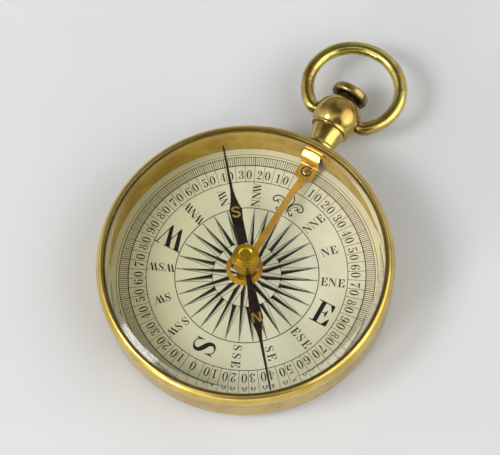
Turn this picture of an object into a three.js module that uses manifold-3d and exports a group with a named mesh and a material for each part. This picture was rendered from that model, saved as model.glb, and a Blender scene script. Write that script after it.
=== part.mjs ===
// Pocket compass with a push-button needle lift, in millimetres, +Z up through the dial.
// The origin is the middle of the flat back. +Y points at the dial's north mark and at the pendant.

import * as THREE from 'three';
import { mergeVertices } from 'three/addons/utils/BufferGeometryUtils.js';
import Module from 'manifold-3d';

const wasm = await Module();
wasm.setup();

// Driving dimensions of the case and what is stacked in it
const CASE_RADIUS = 24.45;
const CASE_WALL = 0.75;
const CASE_FLOOR = 1.35;
const BACK_ROUND = 2.3;
const BACK_ROUND_HEIGHT = 2.9;
const SPIGOT_HEIGHT = 2.1;
const BAND_EDGE_BREAK = 0.2;
const SPIGOT_WALL = 0.3;
const DIAL_PLATE_THICKNESS = 0.8;
const DIAL_CARD_THICKNESS = 0.25;
const ROOM_HEIGHT = 6.8;
const SPACER_WALL = 0.7;
const RING_CLEARANCE = 0.1;
const PRESS_CLEARANCE = 0.05;

// Crystal and bezel
const CRYSTAL_EDGE_THICKNESS = 0.5;
const CRYSTAL_THICKNESS = 1;
const CRYSTAL_RISE = 1.85;
const CRYSTAL_BEVEL_WIDTH = 0.8;
const BEZEL_BULGE = 0.25;
const BEZEL_LIP_WIDTH = 0.7;
const BEZEL_LIP_THICKNESS = 0.35;
const BEZEL_GROOVE = 0.1;
const BEZEL_CROWN_HEIGHT = 0.75;
const BEZEL_INNER_BREAK = 0.25;

// Pivot
const POST_FLANGE_RADIUS = 1.7;
const POST_FLANGE_THICKNESS = 0.35;
const POST_BOSS_RADIUS = 0.95;
const POST_BOSS_HEIGHT = 1.1;
const POST_SHANK_RADIUS = 1.1;
const POST_TENON_RADIUS = 0.7;
const TENON_DEPTH = 0.75;
const PIN_RADIUS = 0.4;
const PIN_POINT_RADIUS = 0.06;
const PIN_TAPER_LENGTH = 2.6;
const PIN_SEAT_DEPTH = 1.2;

// Needle, level on its pivot
const BLADE_HEIGHT = 3.3;
const BLADE_THICKNESS = 0.3;
const BLADE_TO_WALL = 0.7;
const BLADE_WIDE_AT = 9.7;
const BLADE_HALF_WIDTH = 1.1;
const BLADE_NECK_AT = 2.4;
const BLADE_NECK_HALF_WIDTH = 0.42;
const BLADE_SLIM_AT = 14.6;
const BLADE_SLIM_HALF_WIDTH = 0.2;
const BLADE_TIP_HALF_WIDTH = 0.1;
const BLADE_EYE_RADIUS = 1.85;
const CAP_RADIUS = 2.15;
const CAP_TO_CRYSTAL = 1.55;
const CAP_STEP = 0.3;
const CAP_STEP_HEIGHT = 0.22;
const CAP_DISH_RADIUS = 1.2;
const CAP_TENON_RADIUS = 1;
const CAP_BORE_RADIUS = 0.75;
const CAP_FOOT_BREAK = 0.12;
const CAP_ROOF = 1;
const COLLAR_RADIUS = 1.45;
const COLLAR_THICKNESS = 0.3;
const JEWEL_HEIGHT = 1.1;
const JEWEL_CONE_RADIUS = 0.5;
const JEWEL_CONE_DEPTH = 0.7;
const PIVOT_GAP = 0.1;
const NEEDLE_BEARING_DEG = 140.7;

// Lifting lever, drawn as it lies when the needle is lifted
const LEVER_ROCK_DEG = 3.3;
const LEVER_THICKNESS = 0.35;
const LEVER_FULCRUM_HEIGHT = 0.5;
const LEVER_WASHER_THICKNESS = 0.3;
const LEVER_WASHER_RADIUS = 1.3;
const LEVER_PLATE_GAP = 0.22;
const STUD_TO_WALL = 2.1;
const STUD_RADIUS = 0.75;
const STUD_HOLE_CLEARANCE = 0.27;
const STUD_HEAD_HEIGHT = 0.3;
const STUD_TENON_RADIUS = 0.5;
const PLATE_HALF_WIDTH = 1.65;
const PLATE_INNER_REACH = 1.6;
const PLATE_OUTER_REACH = 1.25;
const PLATE_EAR = 0.4;
const TAB_UPRIGHT_HEIGHT = 2.1;
const TAB_LIP_HEIGHT = 1.35;
const TAB_TO_CASE = 0.42;
const TAB_CORNER_RADIUS = 1.35;
const TAB_CLEARANCE = 0.3;
const FOLD_RADIUS = 0.55;
const BAR_HALF_WIDTH = 0.55;
const RING_RADIUS = 3.05;
const RING_BORE_RADIUS = 2.3;
const RING_SOUTHING = 0.4;
const RING_TO_BLADE = 0.3;

// Pendant, push button and bow
const PENDANT_ABOVE_DIAL = 2.1;
const NECK_RADIUS = 2.95;
const NECK_FOOT_RADIUS = 2.35;
const NECK_FLANGE_WIDTH = 0.35;
const NECK_FLANGE_LENGTH = 1.6;
const NECK_LENGTH = 4.48;
const NECK_TENON_RADIUS = 1.7;
const SADDLE_GAP = 0.1;
const BEZEL_TO_NECK = 0.25;
const BALL_RADIUS = 4.15;
const BALL_STEP_WIDTH = 0.45;
const BALL_SKIRT_LENGTH = 0.49;
const SPRING_ROOM_RADIUS = 2.4;
const SPRING_ROOM_DEPTH = 3.35;
const ROD_RADIUS = 0.8;
const ROD_CLEARANCE = 0.1;
const ROD_COLLAR_RADIUS = 1.5;
const ROD_COLLAR_LENGTH = 0.6;
const ROD_BUTTON_DEPTH = 1.6;
const BUTTON_RADIUS = 3.25;
const BUTTON_THICKNESS = 2.2;
const BUTTON_CROWN = 0.55;
const BUTTON_EDGE_RADIUS = 0.6;
const BUTTON_TO_MOUTH = 0.54;
const BUTTON_BOSS_RADIUS = 1.75;
const BUTTON_BOSS_LENGTH = 0.55;
const BUTTON_TRAVEL = 0.4;
const SPRING_WIRE_RADIUS = 0.15;
const SPRING_TURNS = 4;
const BOW_WIRE_RADIUS = 1.15;
const BOW_HALF_WIDTH = 8.1;
const BOW_HALF_LENGTH = 7.7;
const BOW_END_ANGLE_DEG = 48.5;
const BOW_FOOT_LENGTH = 0.56;
const BOW_TRUNNION_RADIUS = 0.7;
const BOW_TRUNNION_LENGTH = 1.3;
const BOW_SHOULDER_GAP = 0.2;

// Facet counts
const WIDE_FACETS = 64;
const FINE_FACETS = 24;
const SMALL_FACETS = 16;
const ARC_STEPS = 4;
const BOW_STEPS = 56;
const BOW_SIDES = 12;
const BALL_STEPS = 10;
const CURL_STEPS = 8;
const CURL_SIDES = 5;

// Overrun of every cutter past the face that it cuts
const OVERRUN = 0.5;

// Heights and radii that follow from them
const CASE_BORE = CASE_RADIUS - CASE_WALL;
const DIAL_HEIGHT = CASE_FLOOR + DIAL_PLATE_THICKNESS + DIAL_CARD_THICKNESS;
const SEAT_HEIGHT = DIAL_HEIGHT + ROOM_HEIGHT;
const BAND_HEIGHT = SEAT_HEIGHT - SPIGOT_HEIGHT;
const SPACER_RADIUS = CASE_BORE - RING_CLEARANCE;
const ROOM_RADIUS = SPACER_RADIUS - SPACER_WALL;
const SPIGOT_RADIUS = CASE_BORE + SPIGOT_WALL;
const BEZEL_RADIUS = CASE_RADIUS + BEZEL_BULGE;
const BEZEL_BORE = SPIGOT_RADIUS + RING_CLEARANCE;
const ROCK = THREE.MathUtils.degToRad(LEVER_ROCK_DEG);
const HINGE_HEIGHT = DIAL_HEIGHT + LEVER_FULCRUM_HEIGHT;
const POST_TOP = DIAL_HEIGHT + POST_BOSS_HEIGHT;
const BLADE_REACH = ROOM_RADIUS - BLADE_TO_WALL;
const CAP_HEIGHT =
  ROOM_HEIGHT + CRYSTAL_RISE - BLADE_HEIGHT - BLADE_THICKNESS / 2 - CAP_TO_CRYSTAL;
const CAP_BORE_ROOF = BLADE_THICKNESS / 2 + CAP_HEIGHT - CAP_ROOF;
const JEWEL_APEX_HEIGHT =
  DIAL_HEIGHT + BLADE_HEIGHT + CAP_BORE_ROOF - JEWEL_HEIGHT + JEWEL_CONE_DEPTH;
const PLATE_HEIGHT =
  DIAL_HEIGHT + LEVER_WASHER_THICKNESS + LEVER_PLATE_GAP + LEVER_THICKNESS / 2;
const STUD_Y = ROOM_RADIUS - STUD_TO_WALL;
const FOLD_Y = STUD_Y + PLATE_OUTER_REACH;
const LIP_REACH = CASE_BORE - FOLD_Y - TAB_TO_CASE;
const TAB_HEIGHT = TAB_UPRIGHT_HEIGHT + TAB_LIP_HEIGHT;
const RING_HEIGHT =
  DIAL_HEIGHT + BLADE_HEIGHT - BLADE_THICKNESS / 2 - RING_TO_BLADE - LEVER_THICKNESS / 2;
const PENDANT_HEIGHT = DIAL_HEIGHT + PENDANT_ABOVE_DIAL;
const NECK_FLANGE_RADIUS = NECK_FOOT_RADIUS + NECK_FLANGE_WIDTH;
const NECK_TOP_Y = CASE_RADIUS + NECK_LENGTH;
const BALL_SKIRT_RADIUS = NECK_RADIUS + BALL_STEP_WIDTH;
const BALL_Y =
  NECK_TOP_Y + BALL_SKIRT_LENGTH + Math.sqrt(BALL_RADIUS ** 2 - BALL_SKIRT_RADIUS ** 2);
const MOUTH_Y = BALL_Y + Math.sqrt(BALL_RADIUS ** 2 - SPRING_ROOM_RADIUS ** 2);
const SPRING_ROOM_FLOOR = MOUTH_Y - SPRING_ROOM_DEPTH;
const BUTTON_Y = MOUTH_Y + BUTTON_TO_MOUTH;
const COLLAR_Y = NECK_TOP_Y - PRESS_CLEARANCE - ROD_COLLAR_LENGTH;
const ROD_END_Y = BUTTON_Y - BUTTON_BOSS_LENGTH + ROD_BUTTON_DEPTH;
const BOW_SHOULDER = BALL_RADIUS + BOW_SHOULDER_GAP;
const BOW_BEND_X = BOW_SHOULDER + BOW_FOOT_LENGTH;
const BOW_END_ANGLE = THREE.MathUtils.degToRad(BOW_END_ANGLE_DEG);
const BOW_RISE =
  (BOW_HALF_LENGTH / Math.sin(BOW_END_ANGLE))
  * (1 - (BOW_BEND_X / BOW_HALF_WIDTH) * Math.cos(BOW_END_ANGLE));

// Shapes of curves, as shares of the sizes that they follow
const BEZEL_BULGE_SHARE = 0.3;
const BLADE_SWELL_SHARE = 0.5;
const BAR_FOOT_RUN_SHARE = 0.2;
const BAR_FOOT_RISE_SHARE = 0.35;
const BAR_HEAD_RUN_SHARE = 0.4;
const CROWN_INNER_SHARE = 0.45;
const CROWN_RISE_SHARE = 0.8;

// Colours
const BRIGHT_BRASS = { color: 0xd9b64a, roughness: 0.22, metalness: 1 };
const AGED_BRASS = { color: 0xa98c4a, roughness: 0.32, metalness: 1 };
const GILT = { color: 0xd29a2c, roughness: 0.28, metalness: 1 };
const BLUED_STEEL = { color: 0x2b1d1c, roughness: 0.35, metalness: 1 };
const BRIGHT_STEEL = { color: 0x9a9a98, roughness: 0.3, metalness: 1 };
const PAPER = { color: 0xdcdcc0, roughness: 0.85, metalness: 0 };
const AGATE = { color: 0x8c4a32, roughness: 0.2, metalness: 0 };
const GLASS = { color: 0xf2f6f2, roughness: 0.05, metalness: 0, transparent: true, opacity: 0.3 };

// Solid tools

function isFullTriangle(a, b, c) {
  return a !== b && b !== c && c !== a;
}

function toSolid(geometry) {
  const bare = geometry.clone();
  bare.deleteAttribute('normal');
  bare.deleteAttribute('uv');
  const merged = mergeVertices(bare);
  const corners = merged.index.array;
  const kept = [];
  for (let i = 0; i < corners.length; i += 3) {
    if (isFullTriangle(corners[i], corners[i + 1], corners[i + 2])) {
      kept.push(corners[i], corners[i + 1], corners[i + 2]);
    }
  }
  const mesh = new wasm.Mesh({
    numProp: 3,
    vertProperties: new Float32Array(merged.attributes.position.array),
    triVerts: new Uint32Array(kept),
  });
  return new wasm.Manifold(mesh);
}

function toGeometry(solid) {
  const mesh = solid.getMesh();
  const geometry = new THREE.BufferGeometry();
  geometry.setAttribute('position', new THREE.BufferAttribute(mesh.vertProperties, 3));
  geometry.setIndex(new THREE.BufferAttribute(mesh.triVerts, 1));
  geometry.computeVertexNormals();
  return geometry;
}

function signedArea(points) {
  let area = 0;
  points.forEach((point, i) => {
    const next = points[(i + 1) % points.length];
    area += (point.x * next.y - next.x * point.y) / 2;
  });
  return area;
}

// A profile of [radius, height] pairs turned about Z
function turned(profile, facets) {
  const points = profile.map(([radius, height]) => new THREE.Vector2(radius, height));
  if (signedArea(points) < 0) {
    points.reverse();
  }
  const endsOnAxis = points.filter((point) => point.x === 0).length >= 2;
  if (endsOnAxis) {
    while (!(points[0].x === 0 && points[points.length - 1].x === 0)) {
      points.push(points.shift());
    }
  } else {
    points.push(points[0].clone());
  }
  return toSolid(new THREE.LatheGeometry(points, facets).rotateX(Math.PI / 2));
}

// The same, turned about the pendant's line, with heights measured along +Y
function turnedOnPendant(profile, facets) {
  return turned(profile, facets).rotate([-90, 0, 0]).translate([0, 0, PENDANT_HEIGHT]);
}

// A quarter of an ellipse between two [radius, height] points, which leaves the first one upright
// or level
function quarter(start, end, startsUpright = true) {
  const points = [];
  for (let i = 0; i <= ARC_STEPS; i += 1) {
    const angle = (i / ARC_STEPS) * (Math.PI / 2);
    const slow = 1 - Math.cos(angle);
    const fast = Math.sin(angle);
    const alongRadius = startsUpright ? slow : fast;
    const alongHeight = startsUpright ? fast : slow;
    points.push([
      start[0] + (end[0] - start[0]) * alongRadius,
      start[1] + (end[1] - start[1]) * alongHeight,
    ]);
  }
  return points;
}

function cylinderUp(radius, bottom, top, facets) {
  return turned([[0, bottom], [radius, bottom], [radius, top], [0, top]], facets);
}

function cylinderOnPendant(radius, from, to, facets) {
  return turnedOnPendant([[0, from], [radius, from], [radius, to], [0, to]], facets);
}

function cylinderAcross(radius, from, to, facets) {
  return turned([[0, from], [radius, from], [radius, to], [0, to]], facets).rotate([0, 90, 0]);
}

// A plan outline raised between two heights
function prism(shape, bottom, top) {
  const settings = { depth: top - bottom, bevelEnabled: false, curveSegments: ARC_STEPS * 2 };
  return toSolid(new THREE.ExtrudeGeometry(shape, settings)).translate([0, 0, bottom]);
}

// Part list: a mesh in the group that carries it
function addPart(parent, name, solid, finish) {
  const mesh = new THREE.Mesh(toGeometry(solid), new THREE.MeshStandardMaterial(finish));
  mesh.name = name;
  parent.add(mesh);
  return mesh;
}

// Case and dial

function makeCaseBody() {
  const flatRadius = CASE_RADIUS - BACK_ROUND;
  const profile = [
    [0, 0],
    ...quarter([flatRadius, 0], [CASE_RADIUS, BACK_ROUND_HEIGHT], false),
    [CASE_RADIUS, BAND_HEIGHT - BAND_EDGE_BREAK],
    [CASE_RADIUS - BAND_EDGE_BREAK, BAND_HEIGHT],
    [SPIGOT_RADIUS, BAND_HEIGHT],
    [SPIGOT_RADIUS, SEAT_HEIGHT],
    [CASE_BORE, SEAT_HEIGHT],
    [CASE_BORE, CASE_FLOOR],
    [0, CASE_FLOOR],
  ];
  const holeRadius = NECK_TENON_RADIUS + PRESS_CLEARANCE;
  const tenonFloor = CASE_FLOOR - TENON_DEPTH - PRESS_CLEARANCE;
  const postHole = cylinderUp(
    POST_TENON_RADIUS + PRESS_CLEARANCE, tenonFloor, CASE_FLOOR + OVERRUN, SMALL_FACETS);
  const studHole = cylinderUp(
    STUD_TENON_RADIUS + PRESS_CLEARANCE, tenonFloor, CASE_FLOOR + OVERRUN, SMALL_FACETS);
  return turned(profile, WIDE_FACETS)
    .subtract(cylinderOnPendant(
      holeRadius, CASE_BORE - OVERRUN, CASE_RADIUS + OVERRUN, FINE_FACETS))
    .subtract(postHole)
    .subtract(studHole.translate([0, STUD_Y, 0]));
}

function dialLayer(bottom, thickness) {
  const layer = turned([
    [POST_SHANK_RADIUS + PRESS_CLEARANCE, bottom],
    [SPACER_RADIUS, bottom],
    [SPACER_RADIUS, bottom + thickness],
    [POST_SHANK_RADIUS + PRESS_CLEARANCE, bottom + thickness],
  ], WIDE_FACETS);
  const studHole = cylinderUp(
    STUD_RADIUS + PRESS_CLEARANCE, bottom - OVERRUN, bottom + thickness + OVERRUN, SMALL_FACETS);
  return layer.subtract(studHole.translate([0, STUD_Y, 0]));
}

// The window in the ring clears the lever's tab
function makeSpacerRing() {
  const ring = turned([
    [ROOM_RADIUS, DIAL_HEIGHT],
    [SPACER_RADIUS, DIAL_HEIGHT],
    [SPACER_RADIUS, SEAT_HEIGHT],
    [ROOM_RADIUS, SEAT_HEIGHT],
  ], WIDE_FACETS);
  const halfWidth = PLATE_HALF_WIDTH + TAB_CLEARANCE;
  const top = HINGE_HEIGHT + TAB_HEIGHT + 2 * TAB_CLEARANCE;
  const window = new THREE.Shape();
  window.moveTo(-halfWidth, DIAL_HEIGHT - OVERRUN);
  window.lineTo(halfWidth, DIAL_HEIGHT - OVERRUN);
  window.lineTo(halfWidth, top - halfWidth / 2);
  window.quadraticCurveTo(halfWidth, top, 0, top);
  window.quadraticCurveTo(-halfWidth, top, -halfWidth, top - halfWidth / 2);
  const cutter = prism(window, -(SPACER_RADIUS + OVERRUN), -(ROOM_RADIUS - OVERRUN));
  return ring.subtract(cutter.rotate([90, 0, 0]));
}

// A shallow dome of one thickness, thinned to a bevelled edge that the bezel's lip holds
function makeCrystal() {
  const edgeRadius = BEZEL_BORE - RING_CLEARANCE;
  const topRadius = SPACER_RADIUS - CRYSTAL_BEVEL_WIDTH;
  const underside = [];
  const upperSide = [];
  for (let i = 0; i <= ARC_STEPS; i += 1) {
    const share = i / ARC_STEPS;
    const drop = CRYSTAL_RISE * share * share;
    underside.push([ROOM_RADIUS * share, SEAT_HEIGHT + CRYSTAL_RISE - drop]);
    upperSide.push([
      topRadius * share, SEAT_HEIGHT + CRYSTAL_RISE + CRYSTAL_THICKNESS - drop]);
  }
  return turned([
    ...underside,
    [edgeRadius, SEAT_HEIGHT],
    [edgeRadius, SEAT_HEIGHT + CRYSTAL_EDGE_THICKNESS],
    [SPACER_RADIUS - BEZEL_LIP_WIDTH / 2, SEAT_HEIGHT + CRYSTAL_EDGE_THICKNESS],
    ...upperSide.reverse(),
  ], WIDE_FACETS);
}

function makeBezel() {
  const lipBottom = SEAT_HEIGHT + CRYSTAL_EDGE_THICKNESS + PRESS_CLEARANCE;
  const lipTop = lipBottom + BEZEL_LIP_THICKNESS;
  const openingRadius = BEZEL_BORE - BEZEL_LIP_WIDTH - RING_CLEARANCE;
  const foot = BAND_HEIGHT + BEZEL_GROOVE;
  const waist = foot + (lipTop - foot) * BEZEL_BULGE_SHARE;
  const crestRadius = (openingRadius + BEZEL_RADIUS) / 2;
  return turned([
    [BEZEL_BORE, foot],
    [CASE_RADIUS - BEZEL_GROOVE, foot],
    ...quarter([CASE_RADIUS, foot + BEZEL_GROOVE], [BEZEL_RADIUS, waist], false),
    ...quarter([BEZEL_RADIUS, lipTop - BEZEL_CROWN_HEIGHT], [crestRadius, lipTop]),
    [openingRadius + BEZEL_INNER_BREAK, lipTop - BEZEL_INNER_BREAK / 2],
    [openingRadius, lipTop - BEZEL_INNER_BREAK],
    [openingRadius, lipBottom],
    [BEZEL_BORE, lipBottom],
  ], WIDE_FACETS);
}

// Pivot

function makePivotPost() {
  const flangeTop = DIAL_HEIGHT + POST_FLANGE_THICKNESS;
  const boreRadius = PIN_RADIUS + PRESS_CLEARANCE;
  return turned([
    [0, CASE_FLOOR - TENON_DEPTH],
    [POST_TENON_RADIUS, CASE_FLOOR - TENON_DEPTH],
    [POST_TENON_RADIUS, CASE_FLOOR],
    [POST_SHANK_RADIUS, CASE_FLOOR],
    [POST_SHANK_RADIUS, DIAL_HEIGHT],
    [POST_FLANGE_RADIUS, DIAL_HEIGHT],
    [POST_FLANGE_RADIUS, flangeTop],
    [POST_BOSS_RADIUS, flangeTop],
    [POST_BOSS_RADIUS, POST_TOP],
    [boreRadius, POST_TOP],
    [boreRadius, POST_TOP - PIN_SEAT_DEPTH],
    [0, POST_TOP - PIN_SEAT_DEPTH],
  ], FINE_FACETS);
}

function makePivotPin() {
  const tip = JEWEL_APEX_HEIGHT - PIVOT_GAP;
  return turned([
    [0, POST_TOP - PIN_SEAT_DEPTH],
    [PIN_RADIUS, POST_TOP - PIN_SEAT_DEPTH],
    [PIN_RADIUS, tip - PIN_TAPER_LENGTH],
    [PIN_POINT_RADIUS, tip - PIN_POINT_RADIUS],
    [0, tip],
  ], SMALL_FACETS);
}

// Needle: heights are measured from the middle of the blade, and +Y is its north end

// Half of the outline of one arm, from its neck out to its point
function armOutward(shape, side, end) {
  shape.lineTo(side * BLADE_NECK_HALF_WIDTH, end * BLADE_NECK_AT);
  shape.quadraticCurveTo(
    side * (BLADE_NECK_HALF_WIDTH + BLADE_HALF_WIDTH) * BLADE_SWELL_SHARE,
    end * (BLADE_NECK_AT + BLADE_WIDE_AT) * BLADE_SWELL_SHARE,
    side * BLADE_HALF_WIDTH, end * BLADE_WIDE_AT);
  shape.quadraticCurveTo(
    side * BLADE_SLIM_HALF_WIDTH, end * (BLADE_WIDE_AT + BLADE_SLIM_AT) / 2,
    side * BLADE_SLIM_HALF_WIDTH, end * BLADE_SLIM_AT);
  shape.lineTo(side * BLADE_TIP_HALF_WIDTH, end * BLADE_REACH);
}

// The other half, back from its point to its neck
function armInward(shape, side, end) {
  shape.lineTo(side * BLADE_TIP_HALF_WIDTH, end * BLADE_REACH);
  shape.lineTo(side * BLADE_SLIM_HALF_WIDTH, end * BLADE_SLIM_AT);
  shape.quadraticCurveTo(
    side * BLADE_SLIM_HALF_WIDTH, end * (BLADE_WIDE_AT + BLADE_SLIM_AT) / 2,
    side * BLADE_HALF_WIDTH, end * BLADE_WIDE_AT);
  shape.quadraticCurveTo(
    side * (BLADE_NECK_HALF_WIDTH + BLADE_HALF_WIDTH) * BLADE_SWELL_SHARE,
    end * (BLADE_NECK_AT + BLADE_WIDE_AT) * BLADE_SWELL_SHARE,
    side * BLADE_NECK_HALF_WIDTH, end * BLADE_NECK_AT);
}

function makeNeedleBlade() {
  const arms = new THREE.Shape();
  arms.moveTo(BLADE_NECK_HALF_WIDTH, 0);
  armOutward(arms, 1, 1);
  armInward(arms, -1, 1);
  arms.lineTo(-BLADE_NECK_HALF_WIDTH, 0);
  armOutward(arms, -1, -1);
  armInward(arms, 1, -1);
  const half = BLADE_THICKNESS / 2;
  const eyeHole = CAP_TENON_RADIUS + PRESS_CLEARANCE;
  return prism(arms, -half, half)
    .add(cylinderUp(BLADE_EYE_RADIUS, -half, half, FINE_FACETS))
    .subtract(cylinderUp(eyeHole, -half - OVERRUN, half + OVERRUN, FINE_FACETS));
}

function makeNeedleCap() {
  const foot = BLADE_THICKNESS / 2;
  const top = foot + CAP_HEIGHT;
  return turned([
    [CAP_BORE_RADIUS, -foot - COLLAR_THICKNESS],
    [CAP_TENON_RADIUS, -foot - COLLAR_THICKNESS],
    [CAP_TENON_RADIUS, foot],
    [CAP_RADIUS - CAP_FOOT_BREAK, foot],
    [CAP_RADIUS, foot + CAP_FOOT_BREAK],
    [CAP_RADIUS, top - 2 * CAP_STEP_HEIGHT],
    [CAP_RADIUS - CAP_STEP, top - 2 * CAP_STEP_HEIGHT],
    [CAP_RADIUS - CAP_STEP, top - CAP_STEP_HEIGHT],
    [CAP_RADIUS - 2 * CAP_STEP, top - CAP_STEP_HEIGHT],
    [CAP_RADIUS - 2 * CAP_STEP, top],
    [CAP_DISH_RADIUS, top],
    [0, top - CAP_STEP_HEIGHT / 2],
    [0, CAP_BORE_ROOF],
    [CAP_BORE_RADIUS, CAP_BORE_ROOF],
  ], FINE_FACETS);
}

function makeNeedleCollar() {
  const top = -BLADE_THICKNESS / 2;
  return turned([
    [CAP_TENON_RADIUS + PRESS_CLEARANCE, top - COLLAR_THICKNESS],
    [COLLAR_RADIUS, top - COLLAR_THICKNESS],
    [COLLAR_RADIUS, top],
    [CAP_TENON_RADIUS + PRESS_CLEARANCE, top],
  ], FINE_FACETS);
}

function makeCapJewel() {
  const radius = CAP_BORE_RADIUS - PRESS_CLEARANCE;
  const bottom = CAP_BORE_ROOF - JEWEL_HEIGHT;
  return turned([
    [0, bottom + JEWEL_CONE_DEPTH],
    [JEWEL_CONE_RADIUS, bottom],
    [radius, bottom],
    [radius, CAP_BORE_ROOF],
    [0, CAP_BORE_ROOF],
  ], SMALL_FACETS);
}

// Lifting lever: one stamped strip, bent to a side view and cut to a plan and a front outline

// Where a point of the level needle's frame lies while the lever holds the needle up
function lifted(y, z) {
  const fromHinge = new THREE.Vector2(y - STUD_Y, z - HINGE_HEIGHT);
  fromHinge.rotateAround(new THREE.Vector2(), -ROCK);
  return new THREE.Vector2(STUD_Y + fromHinge.x, HINGE_HEIGHT + fromHinge.y);
}

function leverSideLine() {
  const innerEnd = STUD_Y - PLATE_INNER_REACH;
  const lip = new THREE.Vector2(LIP_REACH, TAB_LIP_HEIGHT);
  const lipTop = lip.clone().multiplyScalar(1 + OVERRUN / TAB_LIP_HEIGHT);
  const lipFoot = lip.clone().setLength(FOLD_RADIUS);
  const lipHeight = PLATE_HEIGHT + TAB_UPRIGHT_HEIGHT;
  const ringStart = lifted(RING_RADIUS, RING_HEIGHT);
  const ringEnd = lifted(-RING_RADIUS - RING_SOUTHING - OVERRUN, RING_HEIGHT);
  const rise = ringStart.y - PLATE_HEIGHT;
  const run = innerEnd - ringStart.x;
  const line = new THREE.Path();
  line.moveTo(FOLD_Y + lipTop.x, lipHeight + lipTop.y);
  line.lineTo(FOLD_Y + lipFoot.x, lipHeight + lipFoot.y);
  line.quadraticCurveTo(FOLD_Y, lipHeight, FOLD_Y, lipHeight - FOLD_RADIUS);
  line.lineTo(FOLD_Y, PLATE_HEIGHT + FOLD_RADIUS);
  line.quadraticCurveTo(FOLD_Y, PLATE_HEIGHT, FOLD_Y - FOLD_RADIUS, PLATE_HEIGHT);
  line.lineTo(innerEnd, PLATE_HEIGHT);
  line.bezierCurveTo(
    innerEnd - run * BAR_FOOT_RUN_SHARE, PLATE_HEIGHT + rise * BAR_FOOT_RISE_SHARE,
    ringStart.x + run * BAR_HEAD_RUN_SHARE, ringStart.y - Math.tan(ROCK) * run * BAR_HEAD_RUN_SHARE,
    ringStart.x, ringStart.y);
  line.lineTo(ringEnd.x, ringEnd.y);
  return line.getPoints(ARC_STEPS * 2);
}

// A strip of one thickness around a line of points
function stripShape(points, thickness) {
  const sides = points.map((point, i) => {
    const before = points[Math.max(i - 1, 0)];
    const after = points[Math.min(i + 1, points.length - 1)];
    const across = new THREE.Vector2(before.y - after.y, after.x - before.x);
    across.setLength(thickness / 2);
    return [point.clone().add(across), point.clone().sub(across)];
  });
  const outline = [...sides.map((pair) => pair[0]), ...sides.map((pair) => pair[1]).reverse()];
  return new THREE.Shape(outline);
}

function leverPlan() {
  const innerEnd = STUD_Y - PLATE_INNER_REACH;
  const outerEnd = FOLD_Y + LEVER_THICKNESS;
  const shape = new THREE.Shape();
  shape.moveTo(-BAR_HALF_WIDTH, -RING_SOUTHING + RING_RADIUS - BAR_HALF_WIDTH);
  shape.lineTo(BAR_HALF_WIDTH, -RING_SOUTHING + RING_RADIUS - BAR_HALF_WIDTH);
  shape.lineTo(BAR_HALF_WIDTH, innerEnd);
  shape.lineTo(PLATE_HALF_WIDTH - PLATE_EAR, innerEnd);
  shape.lineTo(PLATE_HALF_WIDTH, innerEnd + PLATE_EAR);
  shape.lineTo(PLATE_HALF_WIDTH, outerEnd);
  shape.lineTo(-PLATE_HALF_WIDTH, outerEnd);
  shape.lineTo(-PLATE_HALF_WIDTH, innerEnd + PLATE_EAR);
  shape.lineTo(-PLATE_HALF_WIDTH + PLATE_EAR, innerEnd);
  shape.lineTo(-BAR_HALF_WIDTH, innerEnd);
  return shape;
}

function tabFront() {
  const top = PLATE_HEIGHT + TAB_HEIGHT;
  const corner = Math.min(TAB_CORNER_RADIUS, PLATE_HALF_WIDTH);
  const shape = new THREE.Shape();
  shape.moveTo(-PLATE_HALF_WIDTH, DIAL_HEIGHT);
  shape.lineTo(PLATE_HALF_WIDTH, DIAL_HEIGHT);
  shape.lineTo(PLATE_HALF_WIDTH, top - corner);
  shape.quadraticCurveTo(PLATE_HALF_WIDTH, top, PLATE_HALF_WIDTH - corner, top);
  shape.lineTo(-PLATE_HALF_WIDTH + corner, top);
  shape.quadraticCurveTo(-PLATE_HALF_WIDTH, top, -PLATE_HALF_WIDTH, top - corner);
  return shape;
}

function makeLiftingLever() {
  const strip = prism(stripShape(leverSideLine(), LEVER_THICKNESS), -RING_RADIUS, RING_RADIUS)
    .rotate([90, 0, 90]);
  const bottom = DIAL_HEIGHT;
  const top = SEAT_HEIGHT;
  const ring = cylinderUp(RING_RADIUS, bottom, top, FINE_FACETS);
  const bore = cylinderUp(RING_BORE_RADIUS, bottom, top, FINE_FACETS);
  const studHole = cylinderUp(STUD_RADIUS + STUD_HOLE_CLEARANCE, bottom, top, FINE_FACETS);
  const plan = prism(leverPlan(), bottom, top)
    .add(ring.translate([0, -RING_SOUTHING, 0]))
    .subtract(bore.translate([0, -RING_SOUTHING, 0]))
    .subtract(studHole.translate([0, STUD_Y, 0]));
  const front = prism(tabFront(), -CASE_RADIUS, -FOLD_Y).rotate([90, 0, 0]);
  return strip.intersect(plan.add(front));
}

function makeLeverStud() {
  const headFoot = PLATE_HEIGHT + LEVER_THICKNESS / 2;
  return turned([
    [0, CASE_FLOOR - TENON_DEPTH],
    [STUD_TENON_RADIUS, CASE_FLOOR - TENON_DEPTH],
    [STUD_TENON_RADIUS, CASE_FLOOR],
    [STUD_RADIUS, CASE_FLOOR],
    ...quarter([STUD_RADIUS, headFoot], [0, headFoot + STUD_HEAD_HEIGHT]),
  ], SMALL_FACETS).translate([0, STUD_Y, 0]);
}

function makeLeverWasher() {
  return turned([
    [STUD_RADIUS + PRESS_CLEARANCE, DIAL_HEIGHT],
    [LEVER_WASHER_RADIUS, DIAL_HEIGHT],
    [LEVER_WASHER_RADIUS, DIAL_HEIGHT + LEVER_WASHER_THICKNESS],
    [STUD_RADIUS + PRESS_CLEARANCE, DIAL_HEIGHT + LEVER_WASHER_THICKNESS],
  ], FINE_FACETS).translate([0, STUD_Y, 0]);
}

// Pendant, with lengths along +Y

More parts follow.
